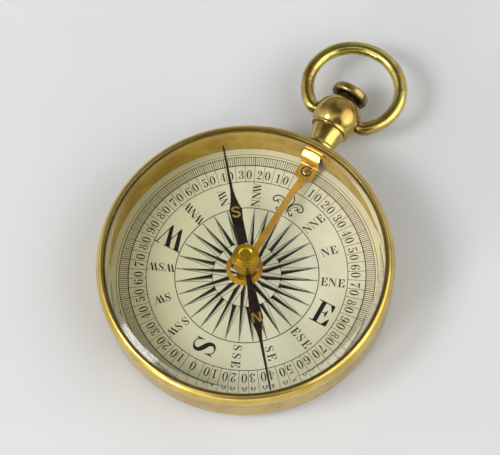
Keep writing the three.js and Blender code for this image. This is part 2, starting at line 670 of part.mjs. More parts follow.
// The neck's foot is hollowed to the case's band and cleared below the bezel
function makePendantNeck() {
  const boreRadius = ROD_RADIUS + ROD_CLEARANCE;
  const collarRoom = ROD_COLLAR_RADIUS + 2 * ROD_CLEARANCE;
  const flangeEnd = CASE_RADIUS + NECK_FLANGE_LENGTH;
  const outside = turnedOnPendant([
    [0, CASE_BORE],
    [NECK_FLANGE_RADIUS, CASE_BORE],
    [NECK_FLANGE_RADIUS, flangeEnd - NECK_FLANGE_WIDTH],
    [NECK_FOOT_RADIUS, flangeEnd],
    [NECK_RADIUS, NECK_TOP_Y],
    [0, NECK_TOP_Y],
  ], FINE_FACETS);
  const bandRoom = cylinderUp(CASE_RADIUS + SADDLE_GAP, -OVERRUN, SEAT_HEIGHT, WIDE_FACETS);
  const bezelRoom = cylinderUp(
    BEZEL_RADIUS + BEZEL_TO_NECK, BAND_HEIGHT - BEZEL_TO_NECK, SEAT_HEIGHT + ROOM_HEIGHT,
    WIDE_FACETS);
  return outside
    .subtract(bandRoom)
    .subtract(bezelRoom)
    .add(cylinderOnPendant(NECK_TENON_RADIUS, CASE_BORE, CASE_RADIUS + OVERRUN, FINE_FACETS))
    .subtract(cylinderOnPendant(boreRadius, 0, NECK_TOP_Y, SMALL_FACETS))
    .subtract(cylinderOnPendant(
      collarRoom, COLLAR_Y - BUTTON_TRAVEL - PRESS_CLEARANCE, NECK_TOP_Y + OVERRUN, FINE_FACETS));
}

function makePendantBall() {
  const boreRadius = ROD_RADIUS + ROD_CLEARANCE;
  const from = -Math.acos(BALL_SKIRT_RADIUS / BALL_RADIUS);
  const to = Math.acos(SPRING_ROOM_RADIUS / BALL_RADIUS);
  const outside = [];
  for (let i = 0; i <= BALL_STEPS; i += 1) {
    const angle = from + (to - from) * (i / BALL_STEPS);
    outside.push([BALL_RADIUS * Math.cos(angle), BALL_Y + BALL_RADIUS * Math.sin(angle)]);
  }
  const hole = BOW_TRUNNION_RADIUS + PRESS_CLEARANCE;
  const holeEnd = BALL_RADIUS - BOW_TRUNNION_LENGTH - PRESS_CLEARANCE;
  const east = cylinderAcross(hole, holeEnd, BALL_RADIUS + OVERRUN, FINE_FACETS);
  const west = cylinderAcross(hole, -BALL_RADIUS - OVERRUN, -holeEnd, FINE_FACETS);
  return turnedOnPendant([
    [boreRadius, NECK_TOP_Y],
    [BALL_SKIRT_RADIUS, NECK_TOP_Y],
    ...outside,
    [SPRING_ROOM_RADIUS, SPRING_ROOM_FLOOR],
    [boreRadius, SPRING_ROOM_FLOOR],
  ], FINE_FACETS)
    .subtract(east.translate([0, BALL_Y, PENDANT_HEIGHT]))
    .subtract(west.translate([0, BALL_Y, PENDANT_HEIGHT]));
}

function makePushButton() {
  const boreRadius = ROD_RADIUS + PRESS_CLEARANCE;
  const top = BUTTON_Y + BUTTON_THICKNESS;
  const shoulder = top - BUTTON_CROWN;
  return turnedOnPendant([
    [boreRadius, BUTTON_Y - BUTTON_BOSS_LENGTH],
    [BUTTON_BOSS_RADIUS, BUTTON_Y - BUTTON_BOSS_LENGTH],
    [BUTTON_BOSS_RADIUS, BUTTON_Y],
    ...quarter([BUTTON_RADIUS - BUTTON_EDGE_RADIUS, BUTTON_Y],
      [BUTTON_RADIUS, BUTTON_Y + BUTTON_EDGE_RADIUS], false),
    [BUTTON_RADIUS, shoulder - BUTTON_EDGE_RADIUS],
    ...quarter([BUTTON_RADIUS, shoulder - BUTTON_EDGE_RADIUS / 2],
      [BUTTON_RADIUS - BUTTON_EDGE_RADIUS, shoulder]),
    [BUTTON_RADIUS * CROWN_INNER_SHARE, shoulder + BUTTON_CROWN * CROWN_RISE_SHARE],
    [0, top],
    [0, ROD_END_Y + PRESS_CLEARANCE],
    [boreRadius, ROD_END_Y + PRESS_CLEARANCE],
  ], FINE_FACETS);
}

// The rod's round tip stands off the tab's upright by the free play. The play is used up just as
// the button reaches its stop and the tab has rocked away.
function rodTipY() {
  const away = ROCK * (PENDANT_HEIGHT - HINGE_HEIGHT);
  const play = BUTTON_TRAVEL - away + PRESS_CLEARANCE / 2;
  return FOLD_Y + LEVER_THICKNESS / 2 + play;
}

function makePushRod() {
  const tip = rodTipY();
  return turnedOnPendant([
    ...quarter([0, tip], [ROD_RADIUS, tip + ROD_RADIUS], false),
    [ROD_RADIUS, ROD_END_Y],
    [0, ROD_END_Y],
  ], SMALL_FACETS);
}

function makeRodCollar() {
  return turnedOnPendant([
    [ROD_RADIUS + PRESS_CLEARANCE, COLLAR_Y],
    [ROD_COLLAR_RADIUS, COLLAR_Y],
    [ROD_COLLAR_RADIUS, COLLAR_Y + ROD_COLLAR_LENGTH],
    [ROD_RADIUS + PRESS_CLEARANCE, COLLAR_Y + ROD_COLLAR_LENGTH],
  ], SMALL_FACETS);
}

// Return spring: an open coil in the ball, round the rod
class Coil extends THREE.Curve {
  constructor(radius, start, end, turns) {
    super();
    Object.assign(this, { radius, start, end, turns });
  }

  getPoint(t) {
    const angle = t * this.turns * 2 * Math.PI;
    return new THREE.Vector3(
      this.radius * Math.cos(angle),
      this.start + t * (this.end - this.start),
      this.radius * Math.sin(angle) + PENDANT_HEIGHT);
  }
}

function sweptRound(curve, radius, steps, sides) {
  const section = new THREE.Shape();
  for (let i = 0; i < sides; i += 1) {
    const angle = (i / sides) * 2 * Math.PI;
    const corner = [radius * Math.cos(angle), radius * Math.sin(angle)];
    if (i === 0) {
      section.moveTo(...corner);
    } else {
      section.lineTo(...corner);
    }
  }
  return toSolid(new THREE.ExtrudeGeometry(section, { steps, extrudePath: curve }));
}

// Least distance between the surfaces of neighbouring curls
function leastGap(curve, turns, radius) {
  const points = curve.getPoints(turns * CURL_STEPS);
  let least = Infinity;
  points.forEach((point, i) => {
    for (let j = i + CURL_STEPS / 2; j < points.length; j += 1) {
      least = Math.min(least, point.distanceTo(points[j]) - 2 * radius);
    }
  });
  return least;
}

function makeReturnSpring() {
  const coilRadius = (SPRING_ROOM_RADIUS + ROD_RADIUS) / 2;
  const start = SPRING_ROOM_FLOOR + SPRING_WIRE_RADIUS + PRESS_CLEARANCE;
  const bossEnd = BUTTON_Y - BUTTON_BOSS_LENGTH;
  const end = bossEnd - BUTTON_TRAVEL - PRESS_CLEARANCE - SPRING_WIRE_RADIUS;
  const coil = new Coil(coilRadius, start, end, SPRING_TURNS);
  const gap = leastGap(coil, SPRING_TURNS, SPRING_WIRE_RADIUS);
  console.log(`return_spring: least gap between curls ${gap.toFixed(2)} mm`);
  return sweptRound(coil, SPRING_WIRE_RADIUS, SPRING_TURNS * CURL_STEPS, CURL_SIDES);
}

// Bow: drawn flat round the trunnions' line, with +Y its reach
function makeBow() {
  const endX = BOW_HALF_WIDTH * Math.cos(BOW_END_ANGLE);
  const endY = BOW_RISE - BOW_HALF_LENGTH * Math.sin(BOW_END_ANGLE);
  const line = new THREE.Path();
  line.moveTo(BOW_SHOULDER, 0);
  line.quadraticCurveTo(BOW_BEND_X, 0, endX, endY);
  line.absellipse(
    0, BOW_RISE, BOW_HALF_WIDTH, BOW_HALF_LENGTH, -BOW_END_ANGLE, Math.PI + BOW_END_ANGLE, false);
  line.quadraticCurveTo(-BOW_BEND_X, 0, -BOW_SHOULDER, 0);
  const points = line.getSpacedPoints(BOW_STEPS).map(({ x, y }) => new THREE.Vector3(x, y, 0));
  const wire = sweptRound(
    new THREE.CatmullRomCurve3(points), BOW_WIRE_RADIUS, BOW_STEPS, BOW_SIDES);
  const trunnionEnd = BALL_RADIUS - BOW_TRUNNION_LENGTH;
  const east = cylinderAcross(
    BOW_TRUNNION_RADIUS, trunnionEnd, BOW_SHOULDER + BOW_WIRE_RADIUS / 2, FINE_FACETS);
  const west = cylinderAcross(
    BOW_TRUNNION_RADIUS, -BOW_SHOULDER - BOW_WIRE_RADIUS / 2, -trunnionEnd, FINE_FACETS);
  return wire.add(east).add(west);
}

// Assembly

const compass = new THREE.Group();
addPart(compass, 'case_body', makeCaseBody(), BRIGHT_BRASS);
addPart(compass, 'dial_plate', dialLayer(CASE_FLOOR, DIAL_PLATE_THICKNESS), BRIGHT_BRASS);
addPart(compass, 'dial_card',
  dialLayer(CASE_FLOOR + DIAL_PLATE_THICKNESS, DIAL_CARD_THICKNESS), PAPER);
addPart(compass, 'spacer_ring', makeSpacerRing(), BRIGHT_BRASS);
addPart(compass, 'crystal', makeCrystal(), GLASS);
addPart(compass, 'bezel', makeBezel(), BRIGHT_BRASS);
addPart(compass, 'pivot_post', makePivotPost(), BRIGHT_BRASS);
addPart(compass, 'pivot_pin', makePivotPin(), BRIGHT_STEEL);
addPart(compass, 'lever_stud', makeLeverStud(), BRIGHT_BRASS);
addPart(compass, 'lever_washer', makeLeverWasher(), BRIGHT_BRASS);
addPart(compass, 'lifting_lever', makeLiftingLever(), GILT);

// The needle is built level on its pivot and rocked up about the lever's hinge line
const rockedUp = new THREE.Group();
rockedUp.position.set(0, STUD_Y, HINGE_HEIGHT);
rockedUp.rotation.x = -ROCK;
compass.add(rockedUp);
const needle = new THREE.Group();
needle.position.set(0, -STUD_Y, DIAL_HEIGHT + BLADE_HEIGHT - HINGE_HEIGHT);
needle.rotation.z = -THREE.MathUtils.degToRad(NEEDLE_BEARING_DEG);
rockedUp.add(needle);
addPart(needle, 'needle_blade', makeNeedleBlade(), BLUED_STEEL);
addPart(needle, 'needle_cap', makeNeedleCap(), GILT);
addPart(needle, 'needle_collar', makeNeedleCollar(), GILT);
addPart(needle, 'cap_jewel', makeCapJewel(), AGATE);

addPart(compass, 'pendant_neck', makePendantNeck(), AGED_BRASS);
addPart(compass, 'pendant_ball', makePendantBall(), AGED_BRASS);
addPart(compass, 'return_spring', makeReturnSpring(), BRIGHT_STEEL);
addPart(compass, 'push_button', makePushButton(), AGED_BRASS);
addPart(compass, 'push_rod', makePushRod(), BRIGHT_STEEL);
addPart(compass, 'rod_collar', makeRodCollar(), AGED_BRASS);

// The bow stands level with the pendant
const bowHang = new THREE.Group();
bowHang.position.set(0, BALL_Y, PENDANT_HEIGHT);
compass.add(bowHang);
addPart(bowHang, 'bow', makeBow(), AGED_BRASS);

export default compass;
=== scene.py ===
"""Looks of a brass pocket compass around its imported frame. Blender units are metres."""

import math

import bmesh
import bpy
from mathutils import Matrix, Vector
from mathutils.geometry import tessellate_polygon


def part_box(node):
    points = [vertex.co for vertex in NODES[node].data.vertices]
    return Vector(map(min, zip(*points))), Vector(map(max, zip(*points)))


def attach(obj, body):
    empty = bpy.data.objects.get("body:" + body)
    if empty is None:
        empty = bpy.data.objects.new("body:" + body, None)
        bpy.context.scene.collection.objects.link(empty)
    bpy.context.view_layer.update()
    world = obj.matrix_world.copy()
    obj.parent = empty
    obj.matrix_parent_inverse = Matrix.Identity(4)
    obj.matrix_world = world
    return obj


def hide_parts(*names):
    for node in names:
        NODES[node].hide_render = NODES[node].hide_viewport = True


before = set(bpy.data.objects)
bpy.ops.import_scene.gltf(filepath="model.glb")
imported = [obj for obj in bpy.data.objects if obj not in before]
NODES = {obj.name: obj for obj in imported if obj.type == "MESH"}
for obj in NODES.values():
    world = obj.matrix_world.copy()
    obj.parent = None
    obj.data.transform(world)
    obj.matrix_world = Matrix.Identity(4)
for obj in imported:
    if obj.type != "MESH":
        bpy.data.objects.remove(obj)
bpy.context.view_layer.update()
MM = 0.001


def low(node):
    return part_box(node)[0]


def high(node):
    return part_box(node)[1]


# Sizes read from the frame
CASE_RADIUS = high("case_body").x
CASE_FLOOR = low("dial_plate").z
SEAT_HEIGHT = high("case_body").z
DIAL_HEIGHT = high("dial_card").z
CARD_BOTTOM = low("dial_card").z
CARD_RADIUS = high("dial_card").x
SPACER_RADIUS = high("spacer_ring").x
CRYSTAL_RADIUS = high("crystal").x
CRYSTAL_TOP = high("crystal").z
BEZEL_RADIUS = high("bezel").x
BEZEL_FOOT = low("bezel").z
BEZEL_TOP = high("bezel").z
STUD_Y = (low("lever_stud").y + high("lever_stud").y) / 2
STUD_TOP = high("lever_stud").z
PENDANT_HEIGHT = (low("pendant_ball").z + high("pendant_ball").z) / 2
NECK_TOP_Y = low("pendant_ball").y
BUTTON_TOP_Y = high("push_button").y
BUTTON_BOSS_Y = low("push_button").y

# Case, bezel and crystal
CASE_WALL = 0.75 * MM
SPIGOT_WALL = 0.3 * MM
BACK_ROUND = 2.3 * MM
BACK_ROUND_HEIGHT = 2.9 * MM
BAND_EDGE_BREAK = 0.2 * MM
BEZEL_GROOVE = 0.1 * MM
BEZEL_LIP_WIDTH = 0.7 * MM
BEZEL_LIP_THICKNESS = 0.35 * MM
BEZEL_SHOULDER_HEIGHT = 0.7 * MM
BEZEL_LIP_DROP = 0.12 * MM
BEZEL_INNER_BREAK = 0.25 * MM
RING_CLEARANCE = 0.1 * MM
CRYSTAL_EDGE_THICKNESS = 0.5 * MM
CRYSTAL_THICKNESS = 1.0 * MM
CRYSTAL_BEVEL_WIDTH = 1.4 * MM
SPACER_WALL = 0.7 * MM
TAB_CLEARANCE = 0.3 * MM
CASE_BORE = CASE_RADIUS - CASE_WALL
SPIGOT_RADIUS = CASE_BORE + SPIGOT_WALL
BAND_HEIGHT = BEZEL_FOOT - BEZEL_GROOVE
ROOM_RADIUS = SPACER_RADIUS - SPACER_WALL
BEZEL_BORE = SPIGOT_RADIUS + RING_CLEARANCE
BEZEL_OPENING = BEZEL_BORE - BEZEL_LIP_WIDTH - RING_CLEARANCE
LIP_BOTTOM = BEZEL_TOP - BEZEL_LIP_THICKNESS

# Pivot and needle, level on its point
POST_HOLE = 1.15 * MM
BLADE_HEIGHT = 3.3 * MM
BLADE_THICKNESS = 0.3 * MM
BLADE_REACH = 22.2 * MM
BLADE_WIDE_AT = 9.9 * MM
BLADE_HALF_WIDTH = 1.1 * MM
BLADE_NECK_AT = 2.4 * MM
BLADE_NECK_HALF_WIDTH = 0.42 * MM
BLADE_SLIM_AT = 14.6 * MM
BLADE_SLIM_HALF_WIDTH = 0.24 * MM
BLADE_TIP_HALF_WIDTH = 0.15 * MM
BLADE_TIP_LENGTH = 0.15 * MM
BLADE_EDGE_RADIUS = 0.045 * MM
BLADE_EYE_RADIUS = 1.85 * MM
BLADE_EYE_HOLE = 1.05 * MM
CAP_RADIUS = 2.15 * MM
CAP_HEIGHT = 3.65 * MM
CAP_STEP = 0.3 * MM
CAP_STEP_HEIGHT = 0.22 * MM
CAP_DISH_RADIUS = 1.2 * MM
CAP_TENON_RADIUS = 1.0 * MM
CAP_BORE_RADIUS = 0.75 * MM
CAP_ROOF = 1.0 * MM
CAP_FOOT_BREAK = 0.12 * MM
COLLAR_THICKNESS = 0.3 * MM
NEEDLE_BEARING = math.radians(140.7)

# Lifting lever, as it lies with the needle lifted
ROCK = math.radians(3.3)
LEVER_THICKNESS = 0.35 * MM
LEVER_EDGE_RADIUS = 0.05 * MM
HINGE_HEIGHT = DIAL_HEIGHT + 0.5 * MM
PLATE_HEIGHT = DIAL_HEIGHT + 0.695 * MM
STUD_RADIUS = 0.75 * MM
STUD_HOLE_RADIUS = 1.02 * MM
PLATE_HALF_WIDTH = 1.65 * MM
PLATE_INNER_REACH = 1.6 * MM
PLATE_OUTER_REACH = 1.25 * MM
PLATE_EAR = 0.4 * MM
TAB_UPRIGHT_HEIGHT = 2.1 * MM
TAB_LIP_HEIGHT = 1.35 * MM
TAB_HEIGHT = TAB_UPRIGHT_HEIGHT + TAB_LIP_HEIGHT
TAB_TO_CASE = 0.42 * MM
TAB_CORNER_RADIUS = 1.35 * MM
FOLD_RADIUS = 0.55 * MM
BAR_HALF_WIDTH = 0.55 * MM
LEVER_RING_RADIUS = 3.05 * MM
LEVER_RING_BORE = 2.3 * MM
LEVER_RING_SOUTHING = 0.4 * MM
RING_TO_BLADE = 0.3 * MM

# Pendant, button and bow
NECK_RADIUS = 2.95 * MM
NECK_FOOT_RADIUS = 2.35 * MM
NECK_FLANGE_RADIUS = 2.7 * MM
NECK_FLANGE_LENGTH = 1.6 * MM
NECK_FLANGE_WIDTH = 0.35 * MM
SADDLE_GAP = 0.1 * MM
BALL_RADIUS = 4.15 * MM
BALL_SKIRT_RADIUS = 3.4 * MM
BALL_SKIRT_LENGTH = 0.49 * MM
BALL_Y = NECK_TOP_Y + BALL_SKIRT_LENGTH + math.sqrt(BALL_RADIUS**2 - BALL_SKIRT_RADIUS**2)
SPRING_ROOM_RADIUS = 2.4 * MM
SPRING_ROOM_DEPTH = 3.35 * MM
ROD_BORE = 0.9 * MM
BUTTON_RADIUS = 3.25 * MM
BUTTON_CROWN = 0.55 * MM
BUTTON_EDGE_RADIUS = 0.6 * MM
BUTTON_BOSS_RADIUS = 1.75 * MM
BUTTON_BOSS_LENGTH = 0.55 * MM
BUTTON_Y = BUTTON_BOSS_Y + BUTTON_BOSS_LENGTH
BOW_WIRE_RADIUS = 1.15 * MM
BOW_HALF_WIDTH = 8.1 * MM
BOW_HALF_LENGTH = 7.7 * MM
BOW_END_ANGLE = math.radians(48.5)
BOW_SHOULDER = 4.35 * MM
BOW_FOOT_LENGTH = 0.56 * MM
BOW_TRUNNION_RADIUS = 0.7 * MM
BOW_TRUNNION_LENGTH = 1.3 * MM

# Smoothness of the turned, bent and drawn pieces
WIDE_SIDES = 256
FINE_SIDES = 96
CIRCLE_SIDES = 720
OVAL_SIDES = 40
DOT_SIDES = 20
ARC_STEPS = 10
CURVE_STEPS = 14
STROKE_STEPS = 6
FILLET_STEPS = 6
EDGE_SEGMENTS = 2
LONGEST_FILLET_SHARE = 0.49
SHARP_ANGLE = math.radians(40)
CRYSTAL_SHARP_ANGLE = math.radians(12)
TINY = 1e-9


# Plane geometry

def arc(centre, radius, start, end, steps):
    """Points on a circle between two angles, both ends included."""
    points = []
    for i in range(steps + 1):
        angle = start + (end - start) * i / steps
        points.append((centre[0] + radius * math.cos(angle), centre[1] + radius * math.sin(angle)))
    return points


def full_circle(centre, radius, sides):
    """A closed circle, without its first point again at its end."""
    return arc(centre, radius, 0, 2 * math.pi, sides)[:-1]


def quarter(start, end, starts_upright=True):
    """A quarter of an ellipse between two points, which leaves the first one upright or level."""
    points = []
    for i in range(ARC_STEPS + 1):
        angle = i / ARC_STEPS * math.pi / 2
        slow, fast = 1 - math.cos(angle), math.sin(angle)
        along_x, along_y = (slow, fast) if starts_upright else (fast, slow)
        points.append((start[0] + (end[0] - start[0]) * along_x, start[1] + (end[1] - start[1]) * along_y))
    return points


def filleted(corners):
    """A closed outline whose (x, y, radius) corners are rounded; (x, y) corners stay sharp."""
    points = []
    for i, corner in enumerate(corners):
        here = Vector(corner[:2])
        if len(corner) == 2:
            points.append(tuple(here))
            continue
        back = Vector(corners[i - 1][:2]) - here
        ahead = Vector(corners[(i + 1) % len(corners)][:2]) - here
        half = back.angle(ahead) / 2
        longest = min(back.length, ahead.length) * LONGEST_FILLET_SHARE
        reach = min(corner[2] / math.tan(half), longest)
        radius = reach * math.tan(half)
        centre = here + (back.normalized() + ahead.normalized()).normalized() * (radius / math.sin(half))
        first = here + back.normalized() * reach - centre
        last = here + ahead.normalized() * reach - centre
        start = math.atan2(first.y, first.x)
        turn = math.atan2(last.y, last.x) - start
        turn = (turn + math.pi) % (2 * math.pi) - math.pi
        points.extend(arc(centre, radius, start, start + turn, FILLET_STEPS))
    return points


def smooth_line(knots, steps):
    """A Catmull-Rom curve through knots of any number of coordinates."""
    ends = [knots[0], *knots, knots[-1]]
    points = []
    for i in range(len(knots) - 1):
        a, b, c, d = ends[i : i + 4]
        for j in range(steps):
            t = j / steps
            points.append(tuple(
                0.5 * (2 * q + (r - p) * t + (2 * p - 5 * q + 4 * r - s) * t * t
                       + (3 * q - p - 3 * r + s) * t**3)
                for p, q, r, s in zip(a, b, c, d)))
    points.append(tuple(knots[-1]))
    return points


# Mesh building

def new_object(name, data):
    made = bpy.data.objects.new(name, data)
    bpy.context.scene.collection.objects.link(made)
    return made


def piece(name, verts, faces, material, body, slot, replaces=(), matrix=None, sharp=SHARP_ANGLE):
    """A mesh object that rides on a body, and stands for the frame's nodes that it replaces."""
    mesh = bpy.data.meshes.new(name)
    mesh.from_pydata([tuple(v) for v in verts], [], faces)
    mesh.validate()
    mesh.shade_smooth()
    mesh.set_sharp_from_angle(angle=sharp)
    mesh.materials.append(material)
    made = new_object(name, mesh)
    if matrix is not None:
        made.matrix_world = matrix
    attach(made, body)
    if replaces:
        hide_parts(*replaces)
    return made


def side_faces(first, second, count):
    """Faces between two closed rows of vertices, which start at two indices."""
    return [(first + i, first + (i + 1) % count, second + (i + 1) % count, second + i)
            for i in range(count)]


def lathe(profile, sides):
    """A closed profile of (radius, height) turned about Z. A point on the axis is one vertex."""
    verts, rings = [], []
    for radius, height in profile:
        if radius < TINY:
            rings.append([len(verts)] * sides)
            verts.append((0, 0, height))
            continue
        rings.append(list(range(len(verts), len(verts) + sides)))
        for i in range(sides):
            angle = 2 * math.pi * i / sides
            verts.append((radius * math.cos(angle), radius * math.sin(angle), height))
    faces = []
    for ring, after in zip(rings, rings[1:] + rings[:1]):
        if ring[0] == ring[1] and after[0] == after[1]:
            continue
        for i in range(sides):
            j = (i + 1) % sides
            corners = [ring[i], ring[j], after[j], after[i]]
            kept = [c for k, c in enumerate(corners) if c != corners[k - 1]]
            faces.append(kept)
    area = sum(a[0] * b[1] - b[0] * a[1] for a, b in zip(profile, profile[1:] + profile[:1]))
    if area < 0:
        faces = [face[::-1] for face in faces]
    return verts, faces


def plate(outline, holes, bottom, top):
    """A flat solid with holes, between two heights. The outline runs anticlockwise."""
    loops = [outline, *[hole[::-1] for hole in holes]]
    flat = [Vector((x, y, 0)) for loop in loops for x, y in loop]
    caps = tessellate_polygon([[Vector((x, y, 0)) for x, y in loop] for loop in loops])
    count = len(flat)
    verts = [(p.x, p.y, bottom) for p in flat] + [(p.x, p.y, top) for p in flat]
    faces = []
    for a, b, c in caps:
        if (flat[b] - flat[a]).cross(flat[c] - flat[a]).z < 0:
            b, c = c, b
        faces += [(a + count, b + count, c + count), (c, b, a)]
    first = 0
    for loop in loops:
        faces += side_faces(first, first + count, len(loop))
        first += len(loop)
    return verts, faces


def tube(points, radius, sides):
    """A round bar along a line of points that lies level."""
    verts, faces = [], []
    up = Vector((0, 0, 1))
    for i, point in enumerate(points):
        ahead = points[min(i + 1, len(points) - 1)] - points[max(i - 1, 0)]
        across = ahead.cross(up).normalized()
        for k in range(sides):
            angle = 2 * math.pi * k / sides
            verts.append(point + (across * math.cos(angle) + up * math.sin(angle)) * radius)
    for i in range(len(points) - 1):
        faces += side_faces(i * sides, (i + 1) * sides, sides)
    faces.append(tuple(reversed(range(sides))))
    faces.append(tuple(range((len(points) - 1) * sides, len(points) * sides)))
    return verts, [face[::-1] for face in faces]


def joined(*solids):
    verts, faces = [], []
    for more_verts, more_faces in solids:
        start = len(verts)
        verts += more_verts
        faces += [tuple(start + i for i in face) for face in more_faces]
    return verts, faces


def soften(made, width):
    """Rounds the sharp edges of a piece."""
    bevel = made.modifiers.new("edges", "BEVEL")
    bevel.width = width
    bevel.segments = EDGE_SEGMENTS
    bevel.limit_method = "ANGLE"
    bevel.angle_limit = SHARP_ANGLE


class Print:
    """Thin solids of ink or gold leaf, gathered from flat outlines and lines at one height."""

    def __init__(self, bottom, top):
        self.bottom, self.top = bottom, top
        self.verts, self.faces = [], []

    def strip(self, left, right, closed=False):
        """A ribbon between two rows of points."""
        start, count = len(self.verts), len(left)
        for (ax, ay), (bx, by) in zip(left, right):
            self.verts += [(ax, ay, self.bottom), (bx, by, self.bottom)]
            self.verts += [(bx, by, self.top), (ax, ay, self.top)]
        for i in range(count if closed else count - 1):
            self.faces += side_faces(start + 4 * i, start + 4 * ((i + 1) % count), 4)
        if not closed:
            self.faces.append((start + 3, start + 2, start + 1, start))
            end = start + 4 * (count - 1)
            self.faces.append((end, end + 1, end + 2, end + 3))

    def line(self, knots, steps=STROKE_STEPS):
        """A smooth stroke through (x, y, width) knots."""
        points = smooth_line(knots, steps) if steps > 1 else knots
        left, right = [], []
        for i, (x, y, width) in enumerate(points):
            before, after = points[max(i - 1, 0)], points[min(i + 1, len(points) - 1)]
            run, rise = after[0] - before[0], after[1] - before[1]
            length = math.hypot(run, rise) or 1
            nx, ny = -rise / length * width / 2, run / length * width / 2
            left.append((x + nx, y + ny))
            right.append((x - nx, y - ny))
        self.strip(left, right)

    def shape(self, corners):
        """A filled outline, which runs anticlockwise."""
        start, count = len(self.verts), len(corners)
        self.verts += [(x, y, self.bottom) for x, y in corners]
        self.verts += [(x, y, self.top) for x, y in corners]
        self.faces.append(tuple(range(start + count - 1, start - 1, -1)))
        self.faces.append(tuple(range(start + count, start + 2 * count)))
        self.faces += side_faces(start, start + count, count)

    def circle(self, radius, width):
        self.strip(full_circle((0, 0), radius - width / 2, CIRCLE_SIDES),
                   full_circle((0, 0), radius + width / 2, CIRCLE_SIDES), closed=True)


# Letters and figures of a thick and thin serif hand, drawn 100 high on a baseline at 0

def bar(x0, x1, y0, y1):
    return [(x0, y0), (x1, y0), (x1, y1), (x0, y1)]


def oval(x, y, rx, ry, thick, thin):
    """Inner and outer rows of an oval whose sides are thick and whose top and bottom are thin."""
    inner, outer = [], []
    for i in range(OVAL_SIDES):
        angle = 2 * math.pi * i / OVAL_SIDES
        c, s = math.cos(angle), math.sin(angle)
        outer.append((x + rx * c, y + ry * s))
        inner.append((x + (rx - thick) * c, y + (ry - thin) * s))
    return inner, outer


GLYPHS = {
    "E": {"advance": 86, "shapes": [
        bar(18, 37, 0, 100), bar(3, 62, 95.5, 100), bar(3, 62, 0, 4.5),
        bar(37, 52, 50, 54),
        [(60, 95.5), (75, 68), (79, 68), (79, 100), (60, 100)],
        [(60, 0), (82, 0), (82, 36), (78, 36), (60, 4.5)],
        [(50, 50), (57, 36), (60, 36), (60, 68), (57, 68), (50, 54)]]},
    "N": {"advance": 100, "shapes": [
        bar(15, 20, 4, 96), bar(79, 84, 10, 96),
        [(9, 100), (79, 0), (84, 0), (84, 20), (32, 100)],
        bar(2, 32, 96, 100), bar(4, 31, 0, 4), bar(67, 96, 96, 100)]},
    "W": {"advance": 130, "shapes": [
        [(8, 100), (42, 0), (46, 0), (52, 18), (30, 100)],
        [(44, 0), (47, 0), (71, 76), (68, 84)],
        [(50, 100), (84, 0), (88, 0), (94, 18), (72, 100)],
        [(86, 0), (89, 0), (118, 100), (113, 100)],
        bar(0, 38, 96, 100), bar(42, 80, 96, 100), bar(102, 129, 96, 100)]},
    "S": {"advance": 72, "shapes": [
        [(55, 86), (60, 66), (63, 66), (63, 100), (60, 100)],
        [(6, 0), (9, 0), (14, 14), (9, 36), (6, 36)]],
        "lines": [[
            (59, 76, 3), (50, 93, 4.5), (34, 97.5, 5), (18, 90, 10), (12.5, 76, 15), (20, 61, 19),
            (36, 50, 21), (53, 38, 19), (59, 24, 15), (53, 10, 10), (36, 2.5, 5), (19, 7, 4.5),
            (10, 24, 3)]]},
    "0": {"advance": 64, "ovals": [oval(32, 50, 28, 50, 15, 4.5)]},
    "1": {"advance": 56, "shapes": [
        bar(22, 36, 0, 95), bar(7, 51, 0, 4.5),
        [(8, 82), (22, 82), (36, 92), (36, 100), (30, 100), (20, 88), (8, 86)]]},
    "2": {"advance": 62, "dots": [(15, 76, 9)], "lines": [
        [(8, 77, 4), (13, 90, 4.5), (28, 97.5, 5), (43, 90, 11), (48, 74, 15), (40, 54, 11),
         (24, 34, 6), (10, 16, 4.5), (6, 3, 4)],
        [(6, 5, 8), (20, 10, 13), (38, 6.5, 12), (51, 9, 7), (55, 27, 3)]]},
    "3": {"advance": 60, "dots": [(15, 79, 8.5), (14, 22, 9)], "lines": [
        [(9, 81, 4), (16, 93, 4.5), (29, 97.5, 5), (42, 90, 10), (46, 76, 14), (39, 61, 9), (24, 54, 4)],
        [(24, 54, 4), (42, 46, 10), (49, 28, 15), (42, 9, 10), (26, 2.5, 5), (12, 8, 4.5), (7, 20, 4)]]},
    "4": {"advance": 64, "shapes": [
        bar(36, 49, 0, 100), bar(4, 60, 26, 30.5), bar(25, 59, 0, 4),
        [(4, 30), (9, 30), (40, 94), (40, 100)]]},
    "5": {"advance": 60, "dots": [(15, 20, 9)], "shapes": [
        [(12, 86), (30, 85), (50, 90), (52, 100), (30, 96), (12, 100)], bar(12, 15.5, 48, 90)],
        "lines": [[
            (13, 49, 4), (22, 60, 4.5), (34, 61, 7), (46, 48, 14), (49, 31, 16), (42, 10, 10),
            (26, 2.5, 5), (12, 8, 4.5), (7, 20, 4)]]},
    "6": {"advance": 62, "dots": [(49, 80, 8)], "ovals": [oval(31, 30, 25, 30, 13, 4.5)], "lines": [[
        (52, 84, 4), (44, 95, 4.5), (32, 96.5, 5), (18, 84, 10), (10, 56, 14), (11, 32, 12),
        (17, 14, 6)]]},
    "7": {"advance": 60, "shapes": [
        [(6, 72), (9, 72), (16, 84), (40, 83), (56, 93), (56, 100), (34, 97), (16, 100), (9, 97), (6, 100)]],
        "lines": [[(54, 94, 3), (42, 68, 5), (31, 42, 11), (26, 20, 16), (26, 3, 15)]]},
    "8": {"advance": 62, "ovals": [
        oval(31, 75.5, 20, 24.5, 10, 4.5), oval(31, 28.5, 25, 28.5, 12, 4.5)]},
}


def turned_about(rows, advance):
    return [(advance - x, 100 - y, *rest) for x, y, *rest in rows]


SIX = GLYPHS["6"]
GLYPHS["9"] = {
    "advance": SIX["advance"],
    "dots": turned_about(SIX["dots"], SIX["advance"]),
    "ovals": [tuple(turned_about(rows, SIX["advance"]) for rows in pair) for pair in SIX["ovals"]],
    "lines": [turned_about(rows, SIX["advance"]) for rows in SIX["lines"]],
}


